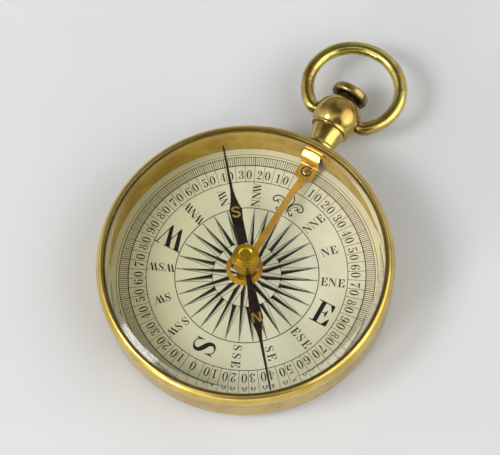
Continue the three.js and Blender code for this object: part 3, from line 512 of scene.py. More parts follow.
def draw_glyph(ink, letter, centre, right, height, weight=1.0):
    """Draws one letter round a centre. right is the direction in which it reads."""
    glyph = GLYPHS[letter]
    unit = height / 100
    right = Vector(right).normalized()
    up = Vector((-right.y, right.x))

    def spot(x, y):
        p = Vector(centre) + right * ((x - glyph["advance"] / 2) * unit) + up * ((y - 50) * unit)
        return p.x, p.y

    for corners in glyph.get("shapes", []):
        ink.shape([spot(x, y) for x, y in corners])
    for inner, outer in glyph.get("ovals", []):
        ink.strip([spot(*p) for p in inner], [spot(*p) for p in outer], closed=True)
    for knots in glyph.get("lines", []):
        ink.line([(*spot(x, y), width * unit * weight) for x, y, width in knots])
    for x, y, radius in glyph.get("dots", []):
        ink.shape(full_circle(spot(x, y), radius * unit, DOT_SIDES))


def bearing(degrees):
    """Unit vector on the dial for a bearing, clockwise from north."""
    angle = math.radians(degrees)
    return Vector((math.sin(angle), math.cos(angle)))


# Procedural materials

class Nodes:
    """Short forms for the node tree of a material or a world. Values are sockets or constants."""

    def __init__(self, owner):
        owner.use_nodes = True
        self.owner, self.tree = owner, owner.node_tree
        self.tree.nodes.clear()

    def add(self, kind, inputs=(), **settings):
        node = self.tree.nodes.new(kind)
        for key, value in settings.items():
            setattr(node, key, value)
        for key, value in dict(inputs).items():
            if isinstance(value, bpy.types.NodeSocket):
                self.tree.links.new(value, node.inputs[key])
            elif value is not None:
                node.inputs[key].default_value = value
        return node

    def math(self, operation, a, b=None):
        return self.add("ShaderNodeMath", {0: a, 1: b}, operation=operation).outputs[0]

    def vector(self, operation, a, b=None, scale=None):
        return self.add("ShaderNodeVectorMath", {0: a, 1: b, "Scale": scale}, operation=operation)

    def place(self):
        """Place on the piece, in millimetres."""
        found = self.add("ShaderNodeTexCoord").outputs["Object"]
        return self.vector("SCALE", found, scale=1 / MM).outputs[0]

    def stretched(self, place, scales):
        return self.vector("MULTIPLY", place, scales).outputs[0]

    def split(self, vector):
        return self.add("ShaderNodeSeparateXYZ", {0: vector}).outputs

    def joined(self, x, y, z):
        return self.add("ShaderNodeCombineXYZ", {0: x, 1: y, 2: z}).outputs[0]

    def noise(self, vector, scale, detail, roughness, distortion=0.0):
        return self.add("ShaderNodeTexNoise", {
            "Vector": vector, "Scale": scale, "Detail": detail, "Roughness": roughness,
            "Distortion": distortion}).outputs[0]

    def ramp(self, value, low_end, high_end, low_value=0.0, high_value=1.0):
        """A smooth change between two values while the input runs between two ends."""
        return self.add("ShaderNodeMapRange", {
            0: value, 1: low_end, 2: high_end, 3: low_value, 4: high_value},
            interpolation_type="SMOOTHSTEP").outputs[0]

    def near(self, value, centre, width):
        """1 at the centre, falling to 0 at width from it."""
        away = self.math("ABSOLUTE", self.math("SUBTRACT", value, centre))
        return self.ramp(away, 0, width, 1, 0)

    def mix(self, factor, a, b):
        return self.add("ShaderNodeMix", {0: factor, 6: a, 7: b}, data_type="RGBA").outputs[2]

    def bump(self, height, strength, distance, normal=None):
        return self.add("ShaderNodeBump", {
            "Height": height, "Strength": strength, "Distance": distance, "Normal": normal}).outputs[0]

    def radius(self, x, y):
        """Distance from the Z axis."""
        return self.vector("LENGTH", self.joined(x, y, 0.0)).outputs["Value"]

    def finish(self, shader, output="ShaderNodeOutputMaterial"):
        self.add(output, {"Surface": shader})
        return self.owner

    def surface(self, inputs):
        """The material with one plain shader of these inputs."""
        return self.finish(self.add("ShaderNodeBsdfPrincipled", inputs).outputs[0])


def colour(red, green, blue):
    """An sRGB colour of 0 to 255 as linear values."""
    def linear(value):
        share = value / 255
        return share / 12.92 if share <= 0.04045 else ((share + 0.055) / 1.055) ** 2.4
    return linear(red), linear(green), linear(blue), 1.0


def metal(name, light, dark, stain_and_shade_tone, rough, stained, dents, bare, lacquer, turned_lines=None,
          brushed=None, pits=0.0, painted_shade_bands=()):
    """Worn polished metal, its light and dark tones mottled and stained, under an old lacquer.

    bare is how metallic it is and lacquer how strong the coat. rough gives the least and most
    roughness, dents their depth in tenths of a mm and pits theirs in mm. The last argument lists
    (axis, centre, width) bands in mm of painted shade, where grooves, corners and undersides are
    darkened towards the stain tone.
    """
    n = Nodes(bpy.data.materials.new(name))
    place = n.place()
    x, y, z = n.split(place)
    radius = n.radius(x, y)
    broad = n.noise(place, 0.16, 3, 0.6)
    fine = n.noise(place, 1.7, 6, 0.65)
    tone = n.mix(n.ramp(broad, 0.35, 0.68), colour(*light), colour(*dark))
    patches = n.math("MULTIPLY", n.ramp(n.noise(place, 0.55, 7, 0.7, 0.4), 0.52, 0.72),
                     n.ramp(fine, 0.35, 0.62))
    stains_and_shade = n.math("MULTIPLY", patches, stained)
    # Painted shade: each listed band darkens the tone towards the stain tone, broken up by fine noise.
    for axis, centre, width in painted_shade_bands:
        band = n.near({"z": z, "radius": radius}[axis], centre, width)
        stains_and_shade = n.math("MAXIMUM", stains_and_shade, n.math("MULTIPLY", band, n.ramp(fine, 0.2, 0.55, 0.55, 1)))
    # Real stains and the painted shade both mix the tone towards one dark colour.
    tone = n.mix(stains_and_shade, tone, colour(*stain_and_shade_tone))
    lines = fine
    if turned_lines:
        lines = n.noise(n.joined(n.math("MULTIPLY", radius, turned_lines),
                                 n.math("MULTIPLY", z, turned_lines), broad), 1.0, 3, 0.6)
    elif brushed:
        lines = n.noise(n.stretched(place, brushed), 1.0, 4, 0.6)
    scratches = n.noise(n.stretched(n.vector("ADD", place, (3.0, 7.0, 1.0)).outputs[0],
                                    (0.5, 6.0, 0.5)), 1.6, 5, 0.75, 1.5)
    polish = n.ramp(n.math("ADD", n.math("MULTIPLY", lines, 0.55),
                           n.math("MULTIPLY", fine, 0.45)), 0.3, 0.7, rough[0], rough[1])
    polish = n.math("ADD", polish, n.math("MULTIPLY", stains_and_shade, 0.14))
    normal = n.bump(n.noise(place, 0.4, 3, 0.55), 0.5, dents * MM * 0.1)
    normal = n.bump(lines, 0.35, 0.006 * MM, normal)
    normal = n.bump(n.ramp(scratches, 0.56, 0.62), 0.25, 0.0012 * MM, normal)
    if pits:
        hollows = n.ramp(n.noise(place, 4.5, 2, 0.5), 0.3, 0.42, 0, 1)
        normal = n.bump(hollows, 0.6, pits * MM, normal)
    return n.surface({
        "Base Color": tone, "Metallic": n.ramp(broad, 0.3, 0.7, bare, bare - 0.08),
        "Roughness": polish, "Normal": normal, "Coat Weight": lacquer, "Coat Roughness": 0.06})


def paper_material():
    n = Nodes(bpy.data.materials.new("paper"))
    place = n.place()
    x, y, _ = n.split(place)
    radius = n.radius(x, y)
    cloud = n.noise(place, 0.09, 4, 0.6)
    fibre = n.noise(n.stretched(place, (1.0, 2.2, 1.0)), 5.0, 6, 0.7)
    tone = n.mix(n.ramp(cloud, 0.35, 0.7), colour(222, 221, 200), colour(211, 209, 182))
    # Painted shade: the card is darker and yellower towards its west side, a gradient across the dial.
    painted_shade_axis = n.math("ADD", x, n.math("MULTIPLY", y, 0.35))
    tone = n.mix(n.ramp(painted_shade_axis, 14, -20, 0, 0.7), tone, colour(186, 183, 136))
    tone = n.mix(n.math("MULTIPLY", n.ramp(fibre, 0.45, 0.8), 0.25), tone, colour(168, 162, 128))
    foxing = n.math("MULTIPLY", n.ramp(n.noise(place, 0.8, 4, 0.6), 0.68, 0.76), 0.35)
    tone = n.mix(foxing, tone, colour(160, 132, 84))
    edge = n.math("MULTIPLY", n.ramp(radius, 20.5, 23.4), 0.35)
    tone = n.mix(edge, tone, colour(182, 184, 150))
    normal = n.bump(fibre, 0.25, 0.01 * MM)
    return n.surface({
        "Base Color": tone, "Roughness": n.ramp(fibre, 0.3, 0.7, 0.62, 0.8),
        "Specular IOR Level": 0.35, "Normal": normal})


def ink_material():
    n = Nodes(bpy.data.materials.new("printing_ink"))
    place = n.place()
    wear = n.noise(place, 3.2, 6, 0.75)
    tone = n.mix(n.ramp(wear, 0.5, 0.85), colour(14, 14, 7), colour(46, 43, 26))
    return n.surface({
        "Base Color": tone, "Roughness": n.ramp(wear, 0.3, 0.7, 0.55, 0.75), "Specular IOR Level": 0.2,
        "Normal": n.bump(wear, 0.2, 0.004 * MM)})


def glass_material():
    """Clear crystal with faint smears and a ground bevel, which lets the lamps through to the dial."""
    n = Nodes(bpy.data.materials.new("crystal_glass"))
    place = n.place()
    x, y, _ = n.split(place)
    radius = n.radius(x, y)
    bevel = (SPACER_RADIUS - CRYSTAL_BEVEL_WIDTH) / MM
    ground = n.ramp(radius, bevel - 0.05, bevel + 0.1, 0.0, 0.1)
    smear = n.noise(n.stretched(place, (0.5, 1.4, 1.0)), 0.5, 6, 0.7, 0.8)
    shader = n.add("ShaderNodeBsdfPrincipled", {
        "Base Color": (0.98, 0.995, 0.985, 1.0), "Transmission Weight": 1.0, "IOR": 1.5,
        "Roughness": n.math("ADD", n.ramp(smear, 0.45, 0.8, 0.0, 0.05), ground),
        "Normal": n.bump(n.noise(place, 0.3, 2, 0.5), 0.15, 0.01 * MM)})
    path = n.add("ShaderNodeLightPath")
    clear = n.add("ShaderNodeBsdfTransparent")
    mixed = n.add("ShaderNodeMixShader", {
        0: path.outputs["Is Shadow Ray"], 1: shader.outputs[0], 2: clear.outputs[0]})
    return n.finish(mixed.outputs[0])


def agate_material():
    n = Nodes(bpy.data.materials.new("agate"))
    band = n.noise(n.stretched(n.place(), (1.0, 1.0, 6.0)), 2.0, 5, 0.6)
    tone = n.mix(n.ramp(band, 0.35, 0.65), colour(148, 84, 58), colour(104, 52, 36))
    return n.surface({"Base Color": tone, "Roughness": n.ramp(band, 0.3, 0.7, 0.12, 0.22)})


# Painted shade on the bezel: darkened across its lower slope above the band and round its opening at the
# glass.
BEZEL_BRASS = metal(
    "bezel_brass", (218, 190, 98), (190, 158, 64), (74, 62, 20), (0.14, 0.28), 0.22,
    turned_lines=7.0, dents=0.5, bare=0.92, lacquer=0.5, painted_shade_bands=[
        ("z", BEZEL_FOOT / MM + 0.35, 0.75), ("radius", BEZEL_OPENING / MM + 0.08, 0.34)])
# Painted shade on the case: darkened at the joint under the bezel and low on the band near its foot.
CASE_BRASS = metal(
    "case_brass", (202, 172, 86), (178, 144, 62), (74, 60, 24), (0.16, 0.32), 0.25,
    turned_lines=7.0, dents=0.6, bare=0.92, lacquer=0.2, painted_shade_bands=[
        ("z", BAND_HEIGHT / MM, 0.16), ("z", 1.1, 0.8)])
# Painted shade on the inner wall: darkened at its foot, where it meets the dial.
WALL_BRASS = metal(
    "wall_brass", (216, 184, 72), (180, 142, 36), (92, 70, 22), (0.34, 0.44), 0.15,
    brushed=(2.6, 2.6, 0.16), dents=0.2, bare=0.9, lacquer=0.1, painted_shade_bands=[("z", DIAL_HEIGHT / MM, 0.22)])
AGED_BRASS = metal(
    "aged_brass", (210, 196, 96), (156, 114, 34), (70, 44, 14), (0.06, 0.14), 0.85,
    dents=1.2, pits=0.002, bare=0.94, lacquer=0.8)
# Painted shade on the button: darkened round its boss and across its inner face, towards the ball.
BUTTON_BRASS = metal(
    "button_brass", (176, 152, 84), (116, 92, 42), (44, 28, 12), (0.12, 0.3), 0.7,
    turned_lines=6.0, dents=0.8, bare=0.88, lacquer=0.6, painted_shade_bands=[
        ("radius", 1.9, 0.8), ("z", (BUTTON_Y - BALL_Y) / MM, 0.5)])
GILT = metal(
    "gilt_brass", (208, 160, 34), (184, 134, 20), (124, 86, 14), (0.18, 0.28), 0.2,
    brushed=(7.0, 0.4, 7.0), dents=0.06, bare=0.6, lacquer=1.0)
CAP_GILT = metal(
    "cap_gilt", (206, 166, 22), (170, 130, 10), (84, 60, 8), (0.12, 0.22), 0.2,
    turned_lines=10.0, dents=0.05, bare=0.88, lacquer=0.3)
BLUED_STEEL = metal(
    "blued_steel", (56, 44, 44), (74, 50, 38), (92, 54, 28), (0.22, 0.4), 0.5,
    brushed=(8.0, 0.6, 8.0), dents=0.2, bare=0.97, lacquer=0.0)
BRIGHT_STEEL = metal(
    "bright_steel", (186, 186, 182), (158, 158, 156), (92, 82, 70), (0.16, 0.32), 0.4,
    brushed=(4.0, 1.0, 4.0), dents=0.2, bare=0.96, lacquer=0.0)
GOLD_LEAF = metal(
    "gold_leaf", (196, 168, 66), (160, 128, 36), (86, 64, 22), (0.28, 0.42), 0.6,
    dents=0.2, bare=0.7, lacquer=0.3)
PAPER = paper_material()
INK = ink_material()
GLASS = glass_material()
AGATE = agate_material()


# Case

def make_case():
    flat = CASE_RADIUS - BACK_ROUND
    round_foot = quarter((flat, 0), (CASE_RADIUS, BACK_ROUND_HEIGHT), False)
    profile = [(0, 0), *round_foot[:-1]] + filleted([
        (CASE_RADIUS, BACK_ROUND_HEIGHT), (CASE_RADIUS, BAND_HEIGHT, BAND_EDGE_BREAK),
        (SPIGOT_RADIUS, BAND_HEIGHT), (SPIGOT_RADIUS, SEAT_HEIGHT), (CASE_BORE, SEAT_HEIGHT),
        (CASE_BORE, CASE_FLOOR), (0, CASE_FLOOR)])
    piece("case", *lathe(profile, WIDE_SIDES), CASE_BRASS, "case", "bright_brass", ["case_body"])


def make_bezel():
    """A convex ring that slopes down from the crystal to the band of the case."""
    shoulder = BEZEL_FOOT + BEZEL_SHOULDER_HEIGHT
    crest = BEZEL_TOP - BEZEL_LIP_DROP
    profile = [
        (BEZEL_BORE, BEZEL_FOOT), (CASE_RADIUS - BEZEL_GROOVE, BEZEL_FOOT),
        *quarter((CASE_RADIUS, BEZEL_FOOT + BEZEL_GROOVE), (BEZEL_RADIUS, shoulder), False),
        *quarter((BEZEL_RADIUS, shoulder), (BEZEL_OPENING + BEZEL_INNER_BREAK, crest))[1:],
        (BEZEL_OPENING + BEZEL_INNER_BREAK / 3, crest - BEZEL_INNER_BREAK / 3),
        (BEZEL_OPENING, LIP_BOTTOM), (BEZEL_BORE, LIP_BOTTOM)]
    piece("bezel_ring", *lathe(profile, WIDE_SIDES), BEZEL_BRASS, "case", "bright_brass", ["bezel"])


def make_spacer_ring():
    """The wall round the dial, with an arched window in front of the lever's tab."""
    half_width = PLATE_HALF_WIDTH + TAB_CLEARANCE
    arch_top = HINGE_HEIGHT + TAB_HEIGHT + 2 * TAB_CLEARANCE
    verts, faces = [], []
    columns, arch_steps = WIDE_SIDES * 2, 48
    half_angle = math.asin(half_width / ROOM_RADIUS)
    angles = [math.pi / 2 + half_angle + (2 * math.pi - 2 * half_angle) * i / columns
              for i in range(columns + 1)]
    arch = [math.pi / 2 - half_angle + 2 * half_angle * i / arch_steps for i in range(1, arch_steps)]

    def sill(angle):
        """Lowest height of the wall at an angle."""
        off = abs((angle - math.pi / 2 + math.pi) % (2 * math.pi) - math.pi) / half_angle
        if off >= 1:
            return DIAL_HEIGHT
        return arch_top - half_width / 2 * (1 - math.sqrt(max(0.0, 1 - off**2)))

    for angle in angles + arch:
        c, s, foot = math.cos(angle), math.sin(angle), sill(angle)
        for radius, height in ((ROOM_RADIUS, foot), (SPACER_RADIUS, foot),
                               (SPACER_RADIUS, SEAT_HEIGHT), (ROOM_RADIUS, SEAT_HEIGHT)):
            verts.append((radius * c, radius * s, height))
    count = len(angles) + len(arch)
    for i in range(count):
        a, b = 4 * i, 4 * ((i + 1) % count)
        for k in range(4):
            m = (k + 1) % 4
            faces.append((a + k, b + k, b + m, a + m))
    piece("inner_wall", verts, faces, WALL_BRASS, "case", "bright_brass", ["spacer_ring"])


def make_crystal():
    """A shallow dome with a ground bevel round its edge."""
    rise = CRYSTAL_TOP - CRYSTAL_THICKNESS - SEAT_HEIGHT
    top_radius = SPACER_RADIUS - CRYSTAL_BEVEL_WIDTH
    steps = 24

    def dome(radius, foot):
        return [(radius * i / steps, foot + rise * (1 - (i / steps) ** 2)) for i in range(steps + 1)]

    edge_top = SEAT_HEIGHT + CRYSTAL_EDGE_THICKNESS
    profile = [*dome(ROOM_RADIUS, SEAT_HEIGHT), (CRYSTAL_RADIUS, SEAT_HEIGHT), (CRYSTAL_RADIUS, edge_top),
               (SPACER_RADIUS - BEZEL_LIP_WIDTH / 2, edge_top),
               *dome(top_radius, SEAT_HEIGHT + CRYSTAL_THICKNESS)[::-1]]
    piece("crystal_dome", *lathe(profile, WIDE_SIDES), GLASS, "case", "glass", ["crystal"],
          sharp=CRYSTAL_SHARP_ANGLE)


# Dial

ROSE_RADIUS = 12.0 * MM
INNER_ROSE_RADIUS = 5.72 * MM
LABEL_RADIUS = 14.35 * MM
NUMBER_INNER = 16.8 * MM
NUMBER_OUTER = 19.8 * MM
TICK_OUTER = 21.35 * MM
RIM_LINE = 21.8 * MM
NUMBER_MIDDLE = 18.1 * MM
FIGURE_HEIGHT = 1.62 * MM
BIG_LETTER_HEIGHT = 3.9 * MM
SMALL_LETTER_HEIGHT = 1.45 * MM
SMALL_LETTER_PITCH = 1.42 * MM
SMALL_LETTER_WEIGHT = 0.9
FIGURE_SPREAD_DEG = 2.15
ROSE_TIP = 11.8 * MM
ROSE_HALF_WIDTH = 0.64 * MM
ROSE_LONG_ROOT = 3.2 * MM
ROSE_LONG_START = 1.0 * MM
POINT_STEP_DEG = 22.5
ZERO_ROOM = (17.2 * MM, 19.0 * MM)
FINE_LINE = 0.08 * MM
INK_THICKNESS = 0.012 * MM
CARD_EDGE_RADIUS = 0.08 * MM


def polar(radius, degrees):
    p = bearing(degrees) * radius
    return p.x, p.y


def draw_point(ink, degrees, root, root_axis):
    """One point of the rose: its clockwise half is dark and the other half is only outlined.

    Its corners lie root out from the middle, and its axis starts at root_axis.
    """
    ahead = bearing(degrees)
    side = Vector((ahead.y, -ahead.x))

    def spot(along, across):
        p = ahead * along + side * across
        return p.x, p.y

    hair = 0.085 * MM
    ink.shape([spot(root_axis, 0), spot(ROSE_TIP, 0), spot(root, ROSE_HALF_WIDTH)][::-1])
    ink.line([(*spot(root, -ROSE_HALF_WIDTH), hair), (*spot(ROSE_TIP, -hair / 2), hair)], steps=1)
    ink.line([(*spot(root_axis, -hair), hair), (*spot(ROSE_TIP, -hair), hair)], steps=1)
    return spot


def draw_rose(ink):
    """16 long points, and 16 short ones between them whose open half is closed at its foot."""
    root = INNER_ROSE_RADIUS
    for i in range(16):
        draw_point(ink, POINT_STEP_DEG * i, ROSE_LONG_ROOT, ROSE_LONG_START)
        spot = draw_point(ink, POINT_STEP_DEG * (i + 0.5), root, root)
        ink.line([(*spot(root, -ROSE_HALF_WIDTH), FINE_LINE), (*spot(root, 0), FINE_LINE)], steps=1)


def draw_fleur(ink):
    """A traditional fleur-de-lis at the north mark, in outline."""
    hair, stroke = 0.12 * MM, 0.21 * MM
    for side in (-1, 1):
        def bend(knots, width):
            ink.line([(side * x * MM, y * MM, width) for x, y in knots])
        bend([(0.35, 13.5), (0.55, 14.3), (1.15, 14.95), (2.0, 15.1), (2.65, 14.7), (2.75, 14.15),
              (2.35, 13.85), (1.95, 14.05), (2.05, 14.4)], stroke)
        bend([(0.7, 13.55), (0.95, 14.1), (1.45, 14.5), (1.75, 14.35), (1.7, 13.95), (1.4, 13.85)], hair)
        bend([(0.0, 16.3), (0.45, 15.7), (0.62, 15.1), (0.4, 14.4), (0.2, 13.6)], stroke)
        bend([(0.3, 13.2), (0.75, 12.95), (1.2, 12.6), (1.5, 12.85), (1.25, 13.1)], stroke)
        bend([(0.12, 13.1), (0.35, 12.7), (0.2, 12.35)], hair)
    ink.line([(-0.95 * MM, 13.38 * MM, stroke), (0.95 * MM, 13.38 * MM, stroke)], steps=1)


def draw_scale(ink):
    """Circles, a tick at each degree, and lines between the numbers that leave room for each 0."""
    def ray(degree, inner, outer, width=FINE_LINE):
        ink.line([(*polar(inner, degree), width), (*polar(outer, degree), width)], steps=1)

    for radius, width in ((ROSE_RADIUS, 0.14 * MM), (INNER_ROSE_RADIUS, FINE_LINE),
                          (NUMBER_INNER, 0.12 * MM), (NUMBER_OUTER, 0.16 * MM),
                          (TICK_OUTER, 0.11 * MM), (RIM_LINE, FINE_LINE)):
        ink.circle(radius, width)
    for degree in range(360):
        ray(degree, NUMBER_OUTER, TICK_OUTER, 0.13 * MM if degree % 5 == 0 else 0.1 * MM)
    for degree in range(0, 360, 5):
        if degree % 180:
            ray(degree, NUMBER_INNER, NUMBER_OUTER)
    for degree in (0, 180):
        ray(degree, NUMBER_INNER, ZERO_ROOM[0])
        ray(degree, ZERO_ROOM[1], NUMBER_OUTER)


def draw_numbers(ink):
    """Tens from 0 at north and south to 90 at east and west."""
    for degree in range(0, 360, 10):
        quadrant = degree % 180
        text = str(min(quadrant, 180 - quadrant))
        for i, figure in enumerate(text):
            turn = degree + (i - (len(text) - 1) / 2) * 2 * FIGURE_SPREAD_DEG
            ahead = bearing(turn)
            draw_glyph(ink, figure, ahead * NUMBER_MIDDLE, (ahead.y, -ahead.x), FIGURE_HEIGHT)


def draw_labels(ink):
    """The points' letters, read outwards from the middle. The fleur stands for the N."""
    names = ["N", "NNE", "NE", "ENE", "E", "ESE", "SE", "SSE",
             "S", "SSW", "SW", "WSW", "W", "WNW", "NW", "NNW"]
    for i, name in enumerate(names):
        ahead = bearing(POINT_STEP_DEG * i)
        if name == "N":
            continue
        if len(name) == 1:
            draw_glyph(ink, name, ahead * LABEL_RADIUS, ahead, BIG_LETTER_HEIGHT)
            continue
        for k, letter in enumerate(name):
            off = (k - (len(name) - 1) / 2) * SMALL_LETTER_PITCH
            draw_glyph(ink, letter, ahead * (LABEL_RADIUS + off), ahead, SMALL_LETTER_HEIGHT,
                       SMALL_LETTER_WEIGHT)


def make_dial():
    card = filleted([
        (POST_HOLE, CARD_BOTTOM), (CARD_RADIUS, CARD_BOTTOM),
        (CARD_RADIUS, DIAL_HEIGHT, CARD_EDGE_RADIUS), (POST_HOLE, DIAL_HEIGHT)])
    piece("paper_dial", *lathe(card, WIDE_SIDES), PAPER, "case", "paper", ["dial_card"])
    for name, draw in (("printed_rose", draw_rose), ("printed_scale", draw_scale),
                       ("printed_figures", draw_numbers), ("printed_letters", draw_labels),
                       ("printed_fleur", draw_fleur)):
        ink = Print(DIAL_HEIGHT, DIAL_HEIGHT + INK_THICKNESS)
        draw(ink)
        piece(name, ink.verts, ink.faces, INK, "case", "paper")


# Needle, in its own frame: +Y is its north end and heights are from the middle of the blade

NEEDLE_MATRIX = (
    Matrix.Translation((0, STUD_Y, HINGE_HEIGHT)) @ Matrix.Rotation(-ROCK, 4, "X")
    @ Matrix.Translation((0, -STUD_Y, DIAL_HEIGHT + BLADE_HEIGHT - HINGE_HEIGHT))
    @ Matrix.Rotation(-NEEDLE_BEARING, 4, "Z"))


def curve_between(start, pull, end, steps=CURVE_STEPS):
    """A quadratic curve, without its first point."""
    points = []
    for i in range(1, steps + 1):
        t = i / steps
        points.append(tuple(
            (1 - t) ** 2 * a + 2 * t * (1 - t) * b + t * t * c for a, b, c in zip(start, pull, end)))
    return points


def arm_side():
    """Right side of the north arm, from the eye out to the point."""
    neck = (BLADE_NECK_HALF_WIDTH, BLADE_NECK_AT)
    wide = (BLADE_HALF_WIDTH, BLADE_WIDE_AT)
    slim = (BLADE_SLIM_HALF_WIDTH, BLADE_SLIM_AT)
    swell = ((neck[0] + wide[0]) / 2, (neck[1] + wide[1]) / 2)
    hollow = (BLADE_SLIM_HALF_WIDTH, (BLADE_WIDE_AT + BLADE_SLIM_AT) / 2)
    return [neck, *curve_between(neck, swell, wide), *curve_between(wide, hollow, slim),
            (BLADE_TIP_HALF_WIDTH, BLADE_REACH - BLADE_TIP_LENGTH), (0, BLADE_REACH)]


LEAF_THICKNESS = 0.015 * MM
LEAF_STROKE = 0.3 * MM
LEAF_N_AT = 9.75 * MM
LEAF_N = [[(-0.62, -0.85), (-0.62, 0.85)], [(-0.5, 0.85), (0.5, -0.85)], [(0.62, -0.85), (0.62, 0.85)]]
LEAF_S_AT = -9.55 * MM
LEAF_S = [[(-0.6, -0.5), (-0.35, -0.82), (0.1, -0.88), (0.5, -0.66), (0.52, -0.3), (0.1, 0.0),
           (-0.42, 0.24), (-0.54, 0.6), (-0.15, 0.86), (0.3, 0.82), (0.55, 0.5)]]


def draw_leaf_letter(leaf, strokes, along):
    """Strokes in mm, straight between two knots, on the blade with their head towards its south."""
    for stroke in strokes:
        leaf.line([(-x * MM, along - y * MM, LEAF_STROKE) for x, y in stroke],
                  steps=STROKE_STEPS if len(stroke) > 2 else 1)


def make_blade():
    side = arm_side()
    eye_steps = 32
    eye_angle = math.acos(BLADE_NECK_HALF_WIDTH / BLADE_EYE_RADIUS)
    right_eye = arc((0, 0), BLADE_EYE_RADIUS, -eye_angle, eye_angle, eye_steps)
    left_eye = arc((0, 0), BLADE_EYE_RADIUS, math.pi - eye_angle, math.pi + eye_angle, eye_steps)
    north = side + [(-x, y) for x, y in side[-2::-1]]
    south = [(-x, -y) for x, y in north]
    outline = right_eye + north + left_eye + south
    hole = full_circle((0, 0), BLADE_EYE_HOLE, eye_steps)
    half = BLADE_THICKNESS / 2
    verts, faces = plate(outline, [hole], -half, half)
    made = piece("compass_needle", verts, faces, BLUED_STEEL, "needle", "blued_steel",
                 ["needle_blade"], NEEDLE_MATRIX)
    soften(made, BLADE_EDGE_RADIUS)
    leaf = Print(half, half + LEAF_THICKNESS)
    draw_leaf_letter(leaf, LEAF_N, LEAF_N_AT)
    draw_leaf_letter(leaf, LEAF_S, LEAF_S_AT)
    piece("needle_letters", leaf.verts, leaf.faces, GOLD_LEAF, "needle", "gilt", (), NEEDLE_MATRIX)


def make_cap():
    """A boss with two steps round a dished top, and a bore from below for the jewel."""
    foot = BLADE_THICKNESS / 2
    top = foot + CAP_HEIGHT
    sharp, soft = 0.05 * MM, 0.1 * MM
    step = CAP_STEP_HEIGHT
    first, second = CAP_RADIUS - CAP_STEP, CAP_RADIUS - 2 * CAP_STEP
    profile = filleted([
        (CAP_BORE_RADIUS, -foot - COLLAR_THICKNESS), (CAP_TENON_RADIUS, -foot - COLLAR_THICKNESS),
        (CAP_TENON_RADIUS, foot), (CAP_RADIUS, foot, CAP_FOOT_BREAK), (CAP_RADIUS, top - 2 * step, soft),
        (first, top - 2 * step, sharp), (first, top - step, soft),
        (second, top - step, sharp), (second, top, soft),
        (CAP_DISH_RADIUS, top, soft), (CAP_DISH_RADIUS * 0.8, top - step * 0.6, soft),
        (0, top - step * 0.7), (0, top - CAP_ROOF), (CAP_BORE_RADIUS, top - CAP_ROOF)])
    piece("needle_boss", *lathe(profile, FINE_SIDES), CAP_GILT, "needle", "gilt", ["needle_cap"],
          NEEDLE_MATRIX)


# Lifting lever: a flat pattern of (across, along) bent up along a side line of (Y, Z)

def lifted(y, z):
    """Where a point of the level needle's frame lies while the lever holds the needle up."""
    away = Vector((y - STUD_Y, z - HINGE_HEIGHT))
    c, s = math.cos(-ROCK), math.sin(-ROCK)
    return STUD_Y + away.x * c - away.y * s, HINGE_HEIGHT + away.x * s + away.y * c


def lever_line():
    """Side line from the ring's far end, along the bar's gentle bend, to the folded tab's lip."""
    bar_steps, fold_steps = 24, 10
    inner_end = STUD_Y - PLATE_INNER_REACH
    fold_y = STUD_Y + PLATE_OUTER_REACH
    ring_height = DIAL_HEIGHT + BLADE_HEIGHT - BLADE_THICKNESS / 2 - RING_TO_BLADE - LEVER_THICKNESS / 2
    ring_end = lifted(-LEVER_RING_RADIUS - LEVER_RING_SOUTHING - MM, ring_height)
    ring_start = lifted(LEVER_RING_RADIUS, ring_height)
    rise, run = ring_start[1] - PLATE_HEIGHT, inner_end - ring_start[0]
    first = (ring_start[0] + run * 0.4, ring_start[1] - math.tan(ROCK) * run * 0.4)
    second = (inner_end - run * 0.2, PLATE_HEIGHT + rise * 0.35)
    line = [ring_end, ring_start]
    for i in range(1, bar_steps + 1):
        t = i / bar_steps
        line.append(tuple(
            (1 - t) ** 3 * a + 3 * t * (1 - t) ** 2 * b + 3 * t * t * (1 - t) * c + t**3 * d
            for a, b, c, d in zip(ring_start, first, second, (inner_end, PLATE_HEIGHT))))
    line.append((fold_y - FOLD_RADIUS, PLATE_HEIGHT))
    line += curve_between(line[-1], (fold_y, PLATE_HEIGHT), (fold_y, PLATE_HEIGHT + FOLD_RADIUS), fold_steps)
    lip = Vector((CASE_BORE - fold_y - TAB_TO_CASE, TAB_LIP_HEIGHT))
    lip_height = PLATE_HEIGHT + TAB_UPRIGHT_HEIGHT
    lip_foot = lip.normalized() * FOLD_RADIUS
    line.append((fold_y, lip_height - FOLD_RADIUS))
    line += curve_between(
        line[-1], (fold_y, lip_height), (fold_y + lip_foot.x, lip_height + lip_foot.y), fold_steps)
    line.append((fold_y + lip.x, lip_height + lip.y))
    return [Vector(p) for p in line]


